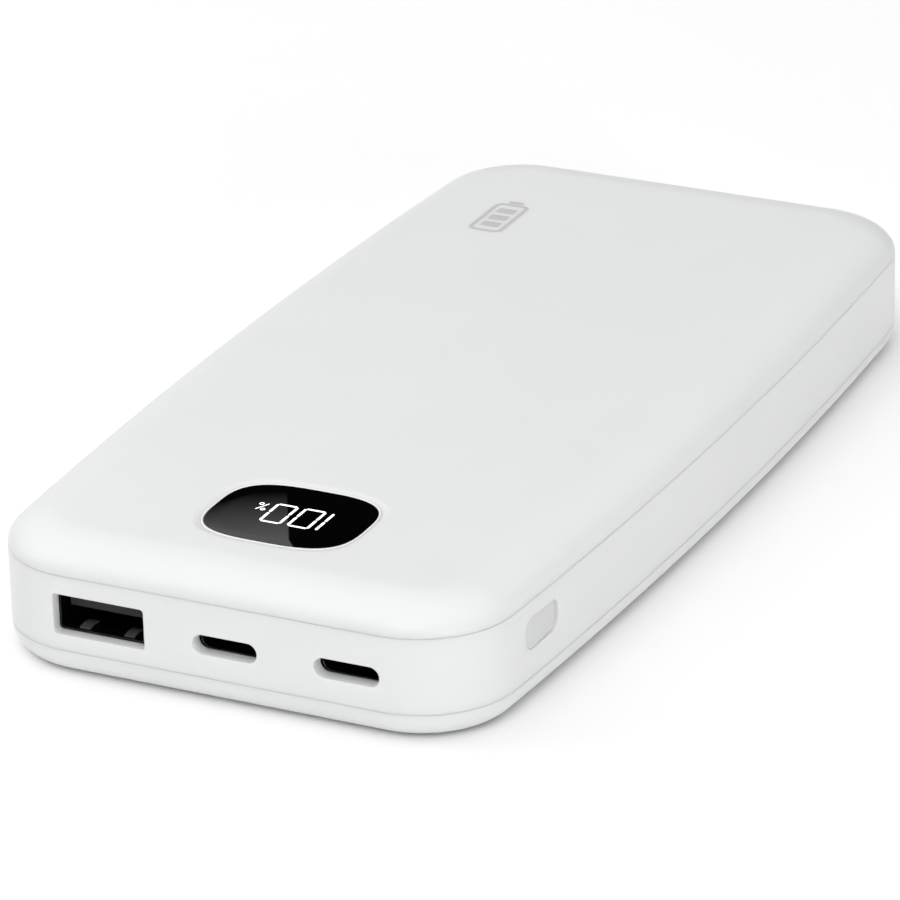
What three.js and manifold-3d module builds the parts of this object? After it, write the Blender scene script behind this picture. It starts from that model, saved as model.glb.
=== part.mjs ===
// A slab-shaped power bank: two rounded covers on a port frame, a smoked display window,
// a side button, one USB-A and two USB-C sockets, a charging board and two pouch cells.
// Millimetres, +Z up. The sockets face -Y and the button faces +X. The origin is the
// centre of the underside.

import * as THREE from "three";
import { mergeVertices } from "three/addons/utils/BufferGeometryUtils.js";
import Module from "manifold-3d";

const wasm = await Module();
wasm.setup();

// Driving dimensions.

const bodyLength = 146;
const bodyWidth = 73; // at the widest, half way along
const bodyHeight = 17.8;
const sideBow = 2.8; // how far each long side bulges past its ends
const cornerRadius = 12.5;
const wall = 1.6;
const bottomSeam = 3.8; // height of the joint between bottom cover and frame
const topSeam = 14;
const seamGap = 0.2;
const topEdgeInset = 7.5; // plan width of the top cover's rounded edge
const bottomEdgeInset = 3.8;

const lipInset = wall + 0.3; // lip under each cover, inside the frame
const lipThickness = 1;
const lipDrop = 1.5;
const hookPlaces = [-35, 0, 35]; // snap hooks along each long side
const hookLength = 6;

const socketHeight = 8.7; // centre line of the large socket
const smallSocketHeight = 8.25; // centre line of the two small ones
const usbA = { x: -16.8, width: 12.5, height: 5.12, metal: 0.3, depth: 13.6, mouthGap: 0.15 };
const usbC = { width: 8.34, height: 2.56, metal: 0.3, depth: 7.3 };
const usbCPlaces = { middle: 0.8, right: 17.5 };
const smallMouth = { width: 8.9, height: 2.66 };
const collar = { depth: 0.35, margin: 0.9 }; // thicker wall round each small socket
const socketFront = -bodyLength / 2 + wall + 0.2;
const smallSocketFront = socketFront + collar.depth;

const display = { x: 0.15, y: -53.15, width: 20.9, length: 16.5, power: 3.2 };
const windowThickness = 0.9;
const windowSink = 0.15; // window surface below the cover
const windowGap = 0.2;
const figureBlock = { width: 14.6, length: 8.6, bottom: 9.3, top: 16.3 }; // the lit figures

const button = { y: -54, z: 9.6, length: 8.4, height: 4.2, radius: 1.6, sink: 0.2, slotGap: 0.2 };
const flange = { length: 12, height: 5.6, thickness: 0.8, back: 31.5 }; // keeps the button in

const boardTop = 7;
const boardThickness = 1.2;
const boardInset = 2.6;
const boardBack = -41;
const screwPlaces = [[-27, -46], [27, -46], [-7, -66], [9.2, -66]];

const cell = { width: 60, length: 100, thickness: 6.4, radius: 4, back: 66 };
const terrace = { length: 4.5, width: 54, thickness: 0.4 };
const layerGap = 0.1;
const foamThickness = 0.5;
const tapeThickness = 0.2;

// Materials.

const paint = (color, roughness, metalness = 0) =>
  new THREE.MeshStandardMaterial({ color, roughness, metalness });

const whiteShell = paint(0xe9ebea, 0.45);
const buttonGrey = paint(0xd2d3d3, 0.5);
const smokedWindow = paint(0x060606, 0.08);
const displayCase = paint(0x1a1a1c, 0.5);
const blackPlastic = paint(0x101012, 0.5);
const ivoryPlastic = paint(0xe6e2d4, 0.5);
const socketSteel = paint(0xb8babd, 0.3, 0.9);
const goldContact = paint(0xd0a64a, 0.3, 0.9);
const boardGreen = paint(0x0f5a38, 0.5);
const chipBlack = paint(0x18181a, 0.6);
const ferrite = paint(0x3a3b3e, 0.7);
const canAluminium = paint(0xc4c7ca, 0.35, 0.9);
const pouchFoil = paint(0xc9ccd0, 0.35, 0.7);
const foamBlack = paint(0x27272a, 0.95);
const tapeBlue = paint(0x2c4d8f, 0.6);
const nickel = paint(0xbfbdb4, 0.35, 0.9);
const redWire = paint(0xb5201c, 0.5);
const blackWire = paint(0x161616, 0.5);
const screwSteel = paint(0x8d9094, 0.35, 0.9);

// Solids and meshes.

const object = new THREE.Group();

// A closed three.js geometry as a solid that can be joined and cut.
function solid(geometry) {
  const bare = geometry.clone();
  bare.deleteAttribute("normal");
  bare.deleteAttribute("uv");
  const merged = mergeVertices(bare, 1e-4);
  const vertProperties = merged.attributes.position.array;
  const triVerts = new Uint32Array(merged.index.array);
  return new wasm.Manifold(new wasm.Mesh({ numProp: 3, vertProperties, triVerts }));
}

function addPart(name, shape, material) {
  const { vertProperties, triVerts } = shape.getMesh();
  const geometry = new THREE.BufferGeometry();
  geometry.setAttribute("position", new THREE.BufferAttribute(vertProperties, 3));
  geometry.setIndex(new THREE.BufferAttribute(triVerts, 1));
  geometry.computeVertexNormals();
  const mesh = new THREE.Mesh(geometry, material);
  mesh.name = name;
  object.add(mesh);
}

// A box between two corners.
function block([x0, y0, z0], [x1, y1, z1]) {
  const box = new THREE.BoxGeometry(x1 - x0, y1 - y0, z1 - z0);
  return solid(box.translate((x0 + x1) / 2, (y0 + y1) / 2, (z0 + z1) / 2));
}

function roundedRect(width, height, radius) {
  const x = width / 2 - radius;
  const y = height / 2 - radius;
  const shape = new THREE.Shape();
  shape.absarc(x, y, radius, 0, Math.PI / 2);
  shape.absarc(-x, y, radius, Math.PI / 2, Math.PI);
  shape.absarc(-x, -y, radius, Math.PI, 1.5 * Math.PI);
  shape.absarc(x, -y, radius, 1.5 * Math.PI, 2 * Math.PI);
  return shape;
}

// The display window's outline: between an ellipse and a rectangle.
function softOval(width, length, power, steps = 40) {
  const bend = (value) => Math.sign(value) * Math.abs(value) ** (2 / power);
  const points = [];
  for (let i = 0; i < steps; i++) {
    const angle = (2 * Math.PI * i) / steps;
    points.push(new THREE.Vector2(
      (width / 2) * bend(Math.cos(angle)),
      (length / 2) * bend(Math.sin(angle)),
    ));
  }
  return new THREE.Shape(points);
}

const X = new THREE.Vector3(1, 0, 0);
const Y = new THREE.Vector3(0, 1, 0);
const Z = new THREE.Vector3(0, 0, 1);

function prism(shape, from, to, basis, [x, y, z]) {
  const options = { depth: to - from, bevelEnabled: false, curveSegments: 5 };
  const geometry = new THREE.ExtrudeGeometry(shape, options).translate(0, 0, from);
  return solid(geometry.applyMatrix4(basis).translate(x, y, z));
}

const upBasis = new THREE.Matrix4();
const inwardBasis = new THREE.Matrix4().makeBasis(X, Z, Y.clone().negate());
const sideBasis = new THREE.Matrix4().makeBasis(Y, Z, X);

// Prisms along +Z, along Y from the socket end, and along +X.
const prismUp = (shape, [x, y], z0, z1) => prism(shape, z0, z1, upBasis, [x, y, 0]);
const prismIn = (shape, [x, z], y0, y1) => prism(shape, -y1, -y0, inwardBasis, [x, 0, z]);
const prismSide = (shape, [y, z], x0, x1) => prism(shape, x0, x1, sideBasis, [0, y, z]);

function cylinder([x, y], radius, z0, z1, sides = 20) {
  const geometry = new THREE.CylinderGeometry(radius, radius, z1 - z0, sides);
  return solid(geometry.rotateX(Math.PI / 2).translate(x, y, (z0 + z1) / 2));
}

function tube(points, radius, steps) {
  const section = new THREE.Shape().absarc(0, 0, radius, 0, 2 * Math.PI);
  const extrudePath = new THREE.CatmullRomCurve3(points.map((p) => new THREE.Vector3(...p)));
  const options = { steps, extrudePath, curveSegments: 4, bevelEnabled: false };
  return solid(new THREE.ExtrudeGeometry(section, options));
}

const joined = (...shapes) => shapes.reduce((all, shape) => all.add(shape));

// The body's outline.

const halfLength = bodyLength / 2;
const halfWidth = bodyWidth / 2;
const sideRadius = (halfLength ** 2 + sideBow ** 2) / (2 * sideBow);
const sideCentre = halfWidth - sideRadius;
const cornerY = halfLength - cornerRadius;
const cornerX = sideCentre + Math.sqrt((sideRadius - cornerRadius) ** 2 - cornerY ** 2);
const cornerStart = Math.asin(cornerY / (sideRadius - cornerRadius));

// How far out a long side stands at a place along the body, at an inset from the outside.
const sideX = (y, inset) => sideCentre + Math.sqrt((sideRadius - inset) ** 2 - y ** 2);

// The plan outline at an inset, anticlockwise from the middle of the right side.
function bodyOutline(inset, sideSteps = 4, cornerSteps = 7) {
  const quarter = [];
  for (let i = 0; i < sideSteps; i++) {
    const angle = (cornerStart * i) / sideSteps;
    const radius = sideRadius - inset;
    quarter.push([sideCentre + radius * Math.cos(angle), radius * Math.sin(angle)]);
  }
  for (let i = 0; i <= cornerSteps; i++) {
    const angle = cornerStart + ((Math.PI / 2 - cornerStart) * i) / cornerSteps;
    const radius = cornerRadius - inset;
    quarter.push([cornerX + radius * Math.cos(angle), cornerY + radius * Math.sin(angle)]);
  }
  const half = [...quarter, ...quarter.slice(1).reverse().map(([x, y]) => [-x, y])];
  return [...half, ...half.map(([x, y]) => [-x, -y])];
}

// A closed solid through rings of the outline, from the lowest ring to the highest.
function loft(rings) {
  const outlines = rings.map(({ inset }) => bodyOutline(inset));
  const count = outlines[0].length;
  const positions = [];
  const faces = [];
  outlines.forEach((outline, k) => outline.forEach(([x, y]) => positions.push(x, y, rings[k].z)));
  const low = positions.length / 3;
  positions.push(0, 0, rings[0].z, 0, 0, rings.at(-1).z);
  for (let i = 0; i < count; i++) {
    const next = (i + 1) % count;
    const lastRing = (rings.length - 1) * count;
    for (let base = 0; base < lastRing; base += count) {
      faces.push(base + i, base + next, base + count + next);
      faces.push(base + i, base + count + next, base + count + i);
    }
    faces.push(low, next, i);
    faces.push(low + 1, lastRing + i, lastRing + next);
  }
  const geometry = new THREE.BufferGeometry();
  geometry.setAttribute("position", new THREE.Float32BufferAttribute(positions, 3));
  geometry.setIndex(faces);
  return solid(geometry);
}

// Rings of a rounded edge: a quarter ellipse from an upright wall to a flat face.
function edgeRings(startInset, endInset, seamZ, faceZ, steps = 6) {
  const rings = [];
  for (let i = 0; i <= steps; i++) {
    const angle = ((Math.PI / 2) * i) / steps;
    rings.push({
      inset: startInset + (endInset - startInset) * (1 - Math.cos(angle)),
      z: seamZ + (faceZ - seamZ) * Math.sin(angle),
    });
  }
  return faceZ > seamZ ? rings : rings.reverse();
}

const slice = (inset, z0, z1) => loft([{ inset, z: z0 }, { inset, z: z1 }]);
const band = (inset, thickness, z0, z1) =>
  slice(inset, z0, z1).subtract(slice(inset + thickness, z0 - 1, z1 + 1));

// Boxes on both long sides at each hook place, between two insets and two heights.
function hookBoxes(outer, inner, length, z0, z1) {
  const boxes = [];
  for (const y of hookPlaces) {
    const [xIn, xOut] = [sideX(y, inner), sideX(y, outer)];
    boxes.push(block([xIn, y - length / 2, z0], [xOut, y + length / 2, z1]));
    boxes.push(block([-xOut, y - length / 2, z0], [-xIn, y + length / 2, z1]));
  }
  return joined(...boxes);
}

// Casing.

const topStart = topSeam + seamGap / 2;
const bottomStart = bottomSeam - seamGap / 2;
const ceiling = bodyHeight - wall;
const windowTop = bodyHeight - windowSink;
const windowBottom = windowTop - windowThickness;
const ledge = windowBottom - tapeThickness - 0.05;
const hookTop = topStart - 0.8;
const hookLow = bottomStart + 0.8;
const hookHeight = 0.65;

function topCover() {
  const outside = loft(edgeRings(0, topEdgeInset, topStart, bodyHeight));
  const inside = loft([
    { inset: wall, z: topStart - 1 },
    ...edgeRings(wall, topEdgeInset, topStart, ceiling),
  ]);
  const lip = band(lipInset, lipThickness, topStart - lipDrop, topStart + lipDrop);
  const hooks = hookBoxes(lipInset - 0.7, lipInset + 0.5, hookLength, hookTop - hookHeight, hookTop);
  const place = [display.x, display.y];
  const pocketOval = (grow) =>
    softOval(display.width + 2 * grow, display.length + 2 * grow, display.power);
  const rim = prismUp(pocketOval(1.5), place, ceiling - 1.1, ceiling + 0.2);
  const pocket = prismUp(pocketOval(windowGap), place, ledge, bodyHeight + 1);
  const dish = prismUp(pocketOval(0.8), place, bodyHeight - 0.2, bodyHeight + 1);
  const lightHole = roundedRect(figureBlock.width + 0.8, figureBlock.length + 0.8, 0.8);
  return joined(outside.subtract(inside), lip, hooks, rim)
    .subtract(pocket)
    .subtract(dish)
    .subtract(prismUp(lightHole, place, ceiling - 2, bodyHeight));
}

function bottomCover() {
  const outside = loft(edgeRings(0, bottomEdgeInset, bottomStart, 0));
  const inside = loft([
    ...edgeRings(wall, bottomEdgeInset, bottomStart, wall),
    { inset: wall, z: bottomStart + 1 },
  ]);
  const lip = band(lipInset, lipThickness, bottomStart - lipDrop, bottomStart + lipDrop);
  const hooks = hookBoxes(lipInset - 0.7, lipInset + 0.5, hookLength, hookLow, hookLow + hookHeight);
  const bossTop = boardTop - boardThickness - layerGap;
  const bosses = screwPlaces.map((place) => cylinder(place, 2.2, wall - 0.2, bossTop));
  const pilots = screwPlaces.map((place) => cylinder(place, 0.95, wall + 0.6, bossTop + 1, 12));
  const ribX = cell.width / 2 + 0.6;
  const ribs = [ribX, -ribX - 0.8].map((x) => block([x, -20, wall - 0.2], [x + 0.8, 50, 5]));
  return joined(outside.subtract(inside), lip, hooks, ...bosses, ...ribs)
    .subtract(joined(...pilots));
}

const mouthA = roundedRect(usbA.width + 2 * usbA.mouthGap, usbA.height + 2 * usbA.mouthGap, 0.5);
const stadium = (width, height) => roundedRect(width, height, height / 2 - 0.01);

function middleFrame() {
  const [low, high] = [bottomSeam + seamGap / 2, topSeam - seamGap / 2];
  const [front, inner] = [-halfLength - 1, -halfLength + wall + 1];
  const mouthC = stadium(smallMouth.width, smallMouth.height);
  const collarShape = stadium(
    smallMouth.width + 2 * collar.margin, smallMouth.height + 2 * collar.margin,
  );
  const slot = roundedRect(
    button.length + 2 * button.slotGap,
    button.height + 2 * button.slotGap,
    button.radius + button.slotGap,
  );
  const pocketLength = hookLength + 1;
  let frame = band(0, wall, low, high)
    .subtract(hookBoxes(0.85, wall + 0.3, pocketLength, hookTop - hookHeight - 0.3, hookTop + 0.3))
    .subtract(hookBoxes(0.85, wall + 0.3, pocketLength, hookLow - 0.3, hookLow + hookHeight + 0.3))
    .subtract(prismIn(mouthA, [usbA.x, socketHeight], front, inner))
    .subtract(prismSide(slot, [button.y, button.z], 30, 40));
  for (const x of Object.values(usbCPlaces)) {
    const place = [x, smallSocketHeight];
    frame = frame
      .add(prismIn(collarShape, place, -halfLength + wall - 0.2, smallSocketFront - 0.2))
      .subtract(prismIn(mouthC, place, front, inner));
  }
  return frame;
}

addPart("top_cover", topCover(), whiteShell);
addPart("middle_frame", middleFrame(), whiteShell);
addPart("bottom_cover", bottomCover(), whiteShell);

// Display.

const displayPlace = [display.x, display.y];
const windowOval = softOval(display.width, display.length, display.power);
const tapeOval = softOval(display.width - 0.8, display.length - 0.8, display.power);
const tapeHole = roundedRect(figureBlock.width + 1.2, figureBlock.length + 1.2, 0.8);

addPart("display_window", prismUp(windowOval, displayPlace, windowBottom, windowTop), smokedWindow);
addPart(
  "window_tape",
  prismUp(tapeOval, displayPlace, ledge + 0.03, ledge + tapeThickness)
    .subtract(prismUp(tapeHole, displayPlace, ledge - 1, windowTop)),
  foamBlack,
);

// The seven-segment block stands on ten pins.
function displayModule() {
  const body = prismUp(
    roundedRect(figureBlock.width, figureBlock.length, 0.4), displayPlace,
    figureBlock.bottom, figureBlock.top,
  );
  const pins = [];
  for (let i = 0; i < 5; i++) {
    for (const row of [-1, 1]) {
      const x = display.x + (i - 2) * 2.54;
      const y = display.y + row * 3.4;
      pins.push(block(
        [x - 0.25, y - 0.25, boardTop + layerGap],
        [x + 0.25, y + 0.25, figureBlock.bottom + 0.5],
      ));
    }
  }
  return joined(body, ...pins);
}
addPart("display_module", displayModule(), displayCase);

// Side button and its switch.

const buttonFace = sideX(button.y, 0) - button.sink;
const plungerTip = 30.9;
const switchFront = 30.2;

function powerButton() {
  const shape = roundedRect(button.length, button.height, button.radius);
  const place = [button.y, button.z];
  const keeper = roundedRect(flange.length, flange.height, button.radius);
  const nub = block(
    [plungerTip + layerGap, button.y - 1.2, button.z - 1],
    [flange.back + 0.2, button.y + 1.2, button.z + 1],
  );
  return joined(
    prismSide(shape, place, flange.back, buttonFace),
    prismSide(keeper, place, flange.back, flange.back + flange.thickness),
    nub,
  );
}

function switchBody() {
  const body = block(
    [switchFront - 3.5, button.y - 2.4, boardTop + layerGap],
    [switchFront, button.y + 2.4, button.z + 1.9],
  );
  const cavity = block(
    [switchFront - 1.9, button.y - 1.15, button.z - 0.75],
    [switchFront + 1, button.y + 1.15, button.z + 0.75],
  );
  return body.subtract(cavity);
}

addPart("power_button", powerButton(), buttonGrey);
addPart("switch_body", switchBody(), socketSteel);
addPart(
  "switch_plunger",
  block(
    [switchFront - 1.2, button.y - 0.95, button.z - 0.55],
    [plungerTip, button.y + 0.95, button.z + 0.55],
  ),
  blackPlastic,
);

// Sockets.

const socketBackA = socketFront + usbA.depth;
const outerA = [usbA.width + 2 * usbA.metal, usbA.height + 2 * usbA.metal];

addPart(
  "usb_a_shell",
  prismIn(roundedRect(...outerA, 0.5), [usbA.x, socketHeight], socketFront, socketBackA)
    .subtract(prismIn(
      roundedRect(usbA.width, usbA.height, 0.3),
      [usbA.x, socketHeight], socketFront - 1, socketBackA - 0.6,
    )),
  socketSteel,
);

const tongueA = { width: 11.1, thickness: 1.84, drop: 0.72, front: 1.1, blockLength: 3.2 };
const tongueTop = socketHeight + usbA.height / 2 - tongueA.drop;
const tongueBottom = tongueTop - tongueA.thickness;
const blockBackA = socketBackA - 0.7;
const blockFrontA = blockBackA - tongueA.blockLength;

addPart(
  "usb_a_tongue",
  joined(
    block(
      [usbA.x - tongueA.width / 2, socketFront + tongueA.front, tongueBottom],
      [usbA.x + tongueA.width / 2, blockFrontA + 0.5, tongueTop],
    ),
    block(
      [usbA.x - usbA.width / 2 + 0.1, blockFrontA, socketHeight - usbA.height / 2 + 0.1],
      [usbA.x + usbA.width / 2 - 0.1, blockBackA, socketHeight + usbA.height / 2 - 0.1],
    ),
  ),
  blackPlastic,
);

// Power contacts are the outer two and reach further forward than the data contacts.
const contactPlaces = [-3.5, -1, 1, 3.5];
contactPlaces.forEach((offset, i) => {
  const start = Math.abs(offset) > 2 ? 1.6 : 2.6;
  addPart(
    `usb_a_contact_${i + 1}`,
    block(
      [usbA.x + offset - 0.5, socketFront + start, tongueBottom - 0.24],
      [usbA.x + offset + 0.5, blockFrontA - 0.05, tongueBottom - 0.04],
    ),
    goldContact,
  );
});

const socketBackC = smallSocketFront + usbC.depth;
for (const [side, x] of Object.entries(usbCPlaces)) {
  const outer = stadium(usbC.width + 2 * usbC.metal, usbC.height + 2 * usbC.metal);
  const inner = stadium(usbC.width, usbC.height);
  const place = [x, smallSocketHeight];
  addPart(
    `usb_c_${side}_shell`,
    prismIn(outer, place, smallSocketFront, socketBackC)
      .subtract(prismIn(inner, place, smallSocketFront - 1, socketBackC - 0.6)),
    socketSteel,
  );
  addPart(
    `usb_c_${side}_tongue`,
    joined(
      prismIn(roundedRect(6.69, 0.7, 0.2), place, smallSocketFront + 0.8, socketBackC - 2),
      prismIn(stadium(usbC.width - 0.2, usbC.height - 0.2), place, socketBackC - 2.6,
        socketBackC - 0.7),
    ),
    blackPlastic,
  );
}

// Charging board.

const boardBottom = boardTop - boardThickness;

function mainBoard() {
  const notchA = block(
    [usbA.x - outerA[0] / 2 - 0.3, -halfLength, boardBottom - 1],
    [usbA.x + outerA[0] / 2 + 0.3, socketBackA + 0.3, boardTop + 1],
  );
  const notchReach = usbC.width / 2 + usbC.metal + 0.3;
  const smallNotches = Object.values(usbCPlaces).map((x) => block(
    [x - notchReach, -halfLength, boardBottom - 1],
    [x + notchReach, socketBackC + 0.3, boardTop + 1],
  ));
  const notchButton = block([31, button.y - 7, boardBottom - 1], [40, button.y + 7, boardTop + 1]);
  const behind = block([-40, boardBack, boardBottom - 1], [40, halfLength, boardTop + 1]);
  const holes = screwPlaces.map((place) => cylinder(place, 1.2, boardBottom - 1, boardTop + 1, 16));
  return slice(boardInset, boardBottom, boardTop)
    .subtract(joined(notchA, ...smallNotches, notchButton, behind, ...holes));
}
addPart("main_board", mainBoard(), boardGreen);

const onBoard = boardTop + layerGap;
const squareChip = (x, y, size, height) =>
  block([x - size / 2, y - size / 2, onBoard], [x + size / 2, y + size / 2, onBoard + height]);

addPart(
  "power_inductor", prismUp(roundedRect(10, 10, 1.6), [-18.2, -49.6], onBoard, onBoard + 5), ferrite,
);
addPart("charge_controller_chip", squareChip(18.5, -48.5, 5, 0.9), chipBlack);
addPart("boost_converter_chip", squareChip(12, -45, 4, 0.9), chipBlack);
[[25, -61.2], [16.4, -58.4]].forEach((place, i) => {
  addPart(`output_capacitor_${i + 1}`, cylinder(place, 3.15, onBoard, onBoard + 5.4), canAluminium);
});

// A pan-head screw, turned about its axis.
function boardScrew([x, y]) {
  const [headRadius, headHeight, shankRadius] = [1.75, 1.2, 0.85];
  const seat = boardTop + 0.05;
  const tip = boardTop - 4.5;
  const profile = [
    [0, tip], [0.3, tip], [shankRadius, tip + 0.8], [shankRadius, seat],
    [headRadius, seat], [headRadius, seat + 0.6], [1.1, seat + headHeight], [0, seat + headHeight],
  ].map(([r, z]) => new THREE.Vector2(r, z));
  return solid(new THREE.LatheGeometry(profile, 16).rotateX(Math.PI / 2).translate(x, y, 0));
}
screwPlaces.forEach((place, i) => addPart(`board_screw_${i + 1}`, boardScrew(place), screwSteel));

// Cells.

const cellFront = cell.back - cell.length;
const cellMiddle = (cell.back + cellFront) / 2;
const terraceFront = cellFront - terrace.length;
const lowFoamTop = wall + 0.05 + foamThickness;
const lowCellBottom = lowFoamTop + layerGap;
const lowCellTop = lowCellBottom + cell.thickness;
const tapeBottom = lowCellTop + layerGap;
const highCellBottom = tapeBottom + tapeThickness + layerGap;
const highCellTop = highCellBottom + cell.thickness;

// A pouch cell: the filled pouch and the flat sealed edge that its tabs leave by.
function pouchCell(bottom) {
  const middle = bottom + cell.thickness / 2;
  const pouch = prismUp(
    roundedRect(cell.width, cell.length, cell.radius),
    [0, cellMiddle], bottom, bottom + cell.thickness,
  );
  const edge = block(
    [-terrace.width / 2, terraceFront, middle - terrace.thickness / 2],
    [terrace.width / 2, cellFront + 1, middle + terrace.thickness / 2],
  );
  return joined(pouch, edge);
}

const pad = (width, length, bottom, height) =>
  block(
    [-width / 2, cellMiddle - length / 2, bottom],
    [width / 2, cellMiddle + length / 2, bottom + height],
  );

addPart("lower_cell", pouchCell(lowCellBottom), pouchFoil);
addPart("upper_cell", pouchCell(highCellBottom), pouchFoil);
addPart("bottom_foam_pad", pad(50, 86, wall + 0.05, foamThickness), foamBlack);
addPart("cell_tape", pad(44, 80, tapeBottom, tapeThickness), tapeBlue);
addPart("top_foam_pad", pad(50, 86, highCellTop + layerGap, foamThickness), foamBlack);

const guard = { width: 44, thickness: 0.8, bottom: 4.2, top: 13.2 };
const guardBack = terraceFront - 0.7;
const guardFront = guardBack - guard.thickness;

addPart(
  "protection_board",
  block([-guard.width / 2, guardFront, guard.bottom], [guard.width / 2, guardBack, guard.top]),
  boardGreen,
);
for (const [name, x] of [["positive_tab", -12], ["negative_tab", 12]]) {
  addPart(
    name, block([x - 2.5, guardBack + 0.15, 5], [x + 2.5, guardBack + 0.45, 12.9]), nickel,
  );
}

// Leads from the protection board down to the charging board.
for (const [name, x, material] of [["red_wire", -3, redWire], ["black_wire", -7, blackWire]]) {
  const y = guardFront - 0.9;
  const route = [[x, y, 11.6], [x, y - 0.3, 9.8], [x, y - 1.6, 8.5], [x, y - 3.2, 8], [x, y - 5, 7.9]];
  addPart(name, tube(route, 0.65, 12), material);
}

// The temperature sensor: a bead on the upper cell's sealed edge, and its lead.
function thermistor() {
  const x = -11.5;
  const edgeTop = highCellBottom + cell.thickness / 2 + terrace.thickness / 2;
  const bead = new THREE.SphereGeometry(1, 12, 8).scale(1.3, 1.3, 0.7);
  bead.translate(x, terraceFront + 2.4, edgeTop + 0.8);
  const route = [
    [x, terraceFront + 2.2, edgeTop + 0.9], [x, terraceFront, edgeTop + 1.3],
    [x, guardFront - 0.6, edgeTop + 1.3], [x, guardFront - 2.2, 12], [x, guardFront - 2.6, 9.5],
    [x, guardFront - 3, 7.7],
  ];
  return joined(solid(bead), tube(route, 0.4, 20));
}
addPart("thermistor", thermistor(), ivoryPlastic);

export default object;
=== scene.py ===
import math

import bmesh
import bpy
from mathutils import Matrix, Vector
from mathutils.geometry import delaunay_2d_cdt


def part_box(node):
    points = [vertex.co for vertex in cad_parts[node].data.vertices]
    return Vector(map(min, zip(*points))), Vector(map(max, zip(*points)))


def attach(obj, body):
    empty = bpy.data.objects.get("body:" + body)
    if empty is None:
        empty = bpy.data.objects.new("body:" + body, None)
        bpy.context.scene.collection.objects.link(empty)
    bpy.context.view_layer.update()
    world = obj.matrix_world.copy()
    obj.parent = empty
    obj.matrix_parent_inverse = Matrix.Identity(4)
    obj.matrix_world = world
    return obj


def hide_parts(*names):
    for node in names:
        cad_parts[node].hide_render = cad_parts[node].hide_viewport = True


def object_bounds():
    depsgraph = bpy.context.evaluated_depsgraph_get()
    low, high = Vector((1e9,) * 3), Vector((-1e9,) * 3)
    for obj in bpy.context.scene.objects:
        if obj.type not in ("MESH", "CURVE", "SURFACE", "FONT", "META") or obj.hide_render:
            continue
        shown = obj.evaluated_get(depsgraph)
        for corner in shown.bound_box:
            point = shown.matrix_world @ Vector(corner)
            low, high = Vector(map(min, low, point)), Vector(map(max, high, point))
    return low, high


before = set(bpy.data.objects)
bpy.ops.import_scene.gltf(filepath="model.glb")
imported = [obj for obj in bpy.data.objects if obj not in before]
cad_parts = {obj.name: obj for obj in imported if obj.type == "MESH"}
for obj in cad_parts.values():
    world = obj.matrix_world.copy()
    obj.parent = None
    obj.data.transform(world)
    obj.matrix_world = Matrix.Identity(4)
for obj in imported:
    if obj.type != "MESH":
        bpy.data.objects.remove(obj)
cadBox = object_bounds()
mm = 0.001
scene = bpy.context.scene
scene.view_settings.view_transform = "Standard"  # keeps the white plastic white
print("frame loaded:", len(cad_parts), "nodes")


# Wires or sets each named input of a node.
def setInputs(tree, node, values):
    for key, value in values.items():
        if isinstance(value, bpy.types.NodeSocket):
            tree.links.new(value, node.inputs[key])
        else:
            node.inputs[key].default_value = value


def put(tree, kind, values=None, **properties):
    node = tree.nodes.new(kind)
    for key, value in properties.items():
        setattr(node, key, value)
    setInputs(tree, node, values or {})
    return node


def setShader(material, values):
    tree = material.node_tree
    setInputs(tree, tree.nodes["Principled BSDF"], values)


def newMaterial(name, color, roughness, metallic=0.0):
    material = bpy.data.materials.new(name)
    material.use_nodes = True
    setShader(material, {"Base Color": (*color, 1), "Roughness": roughness, "Metallic": metallic})
    return material


def objectPoint(tree, stretch=(1, 1, 1)):
    place = put(tree, "ShaderNodeTexCoord").outputs["Object"]
    return put(tree, "ShaderNodeMapping", {"Vector": place, "Scale": stretch}).outputs["Vector"]


def grain(material, scale, detail=3.0, stretch=(1, 1, 1)):
    tree = material.node_tree
    noise = put(tree, "ShaderNodeTexNoise", {
        "Vector": objectPoint(tree, stretch), "Scale": scale, "Detail": detail,
    })
    return noise.outputs["Fac"]


# Most of a noise lies between 0.3 and 0.7: that stretch is spread over low to high.
def spread(material, value, low, high):
    ranger = put(material.node_tree, "ShaderNodeMapRange", {
        "Value": value, "From Min": 0.3, "From Max": 0.7, "To Min": low, "To Max": high,
    })
    return ranger.outputs["Result"]


def tint(material, value, first, second):
    blend = put(material.node_tree, "ShaderNodeMix", {
        "Factor": value, "A": (*first, 1), "B": (*second, 1),
    }, data_type="RGBA")
    setShader(material, {"Base Color": blend.outputs["Result"]})


def roughen(material, value, low, high):
    setShader(material, {"Roughness": spread(material, value, low, high)})


def emboss(material, value, height, strength=1.0):
    bump = put(material.node_tree, "ShaderNodeBump", {
        "Height": value, "Strength": strength, "Distance": height,
    })
    setShader(material, {"Normal": bump.outputs["Normal"]})


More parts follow.
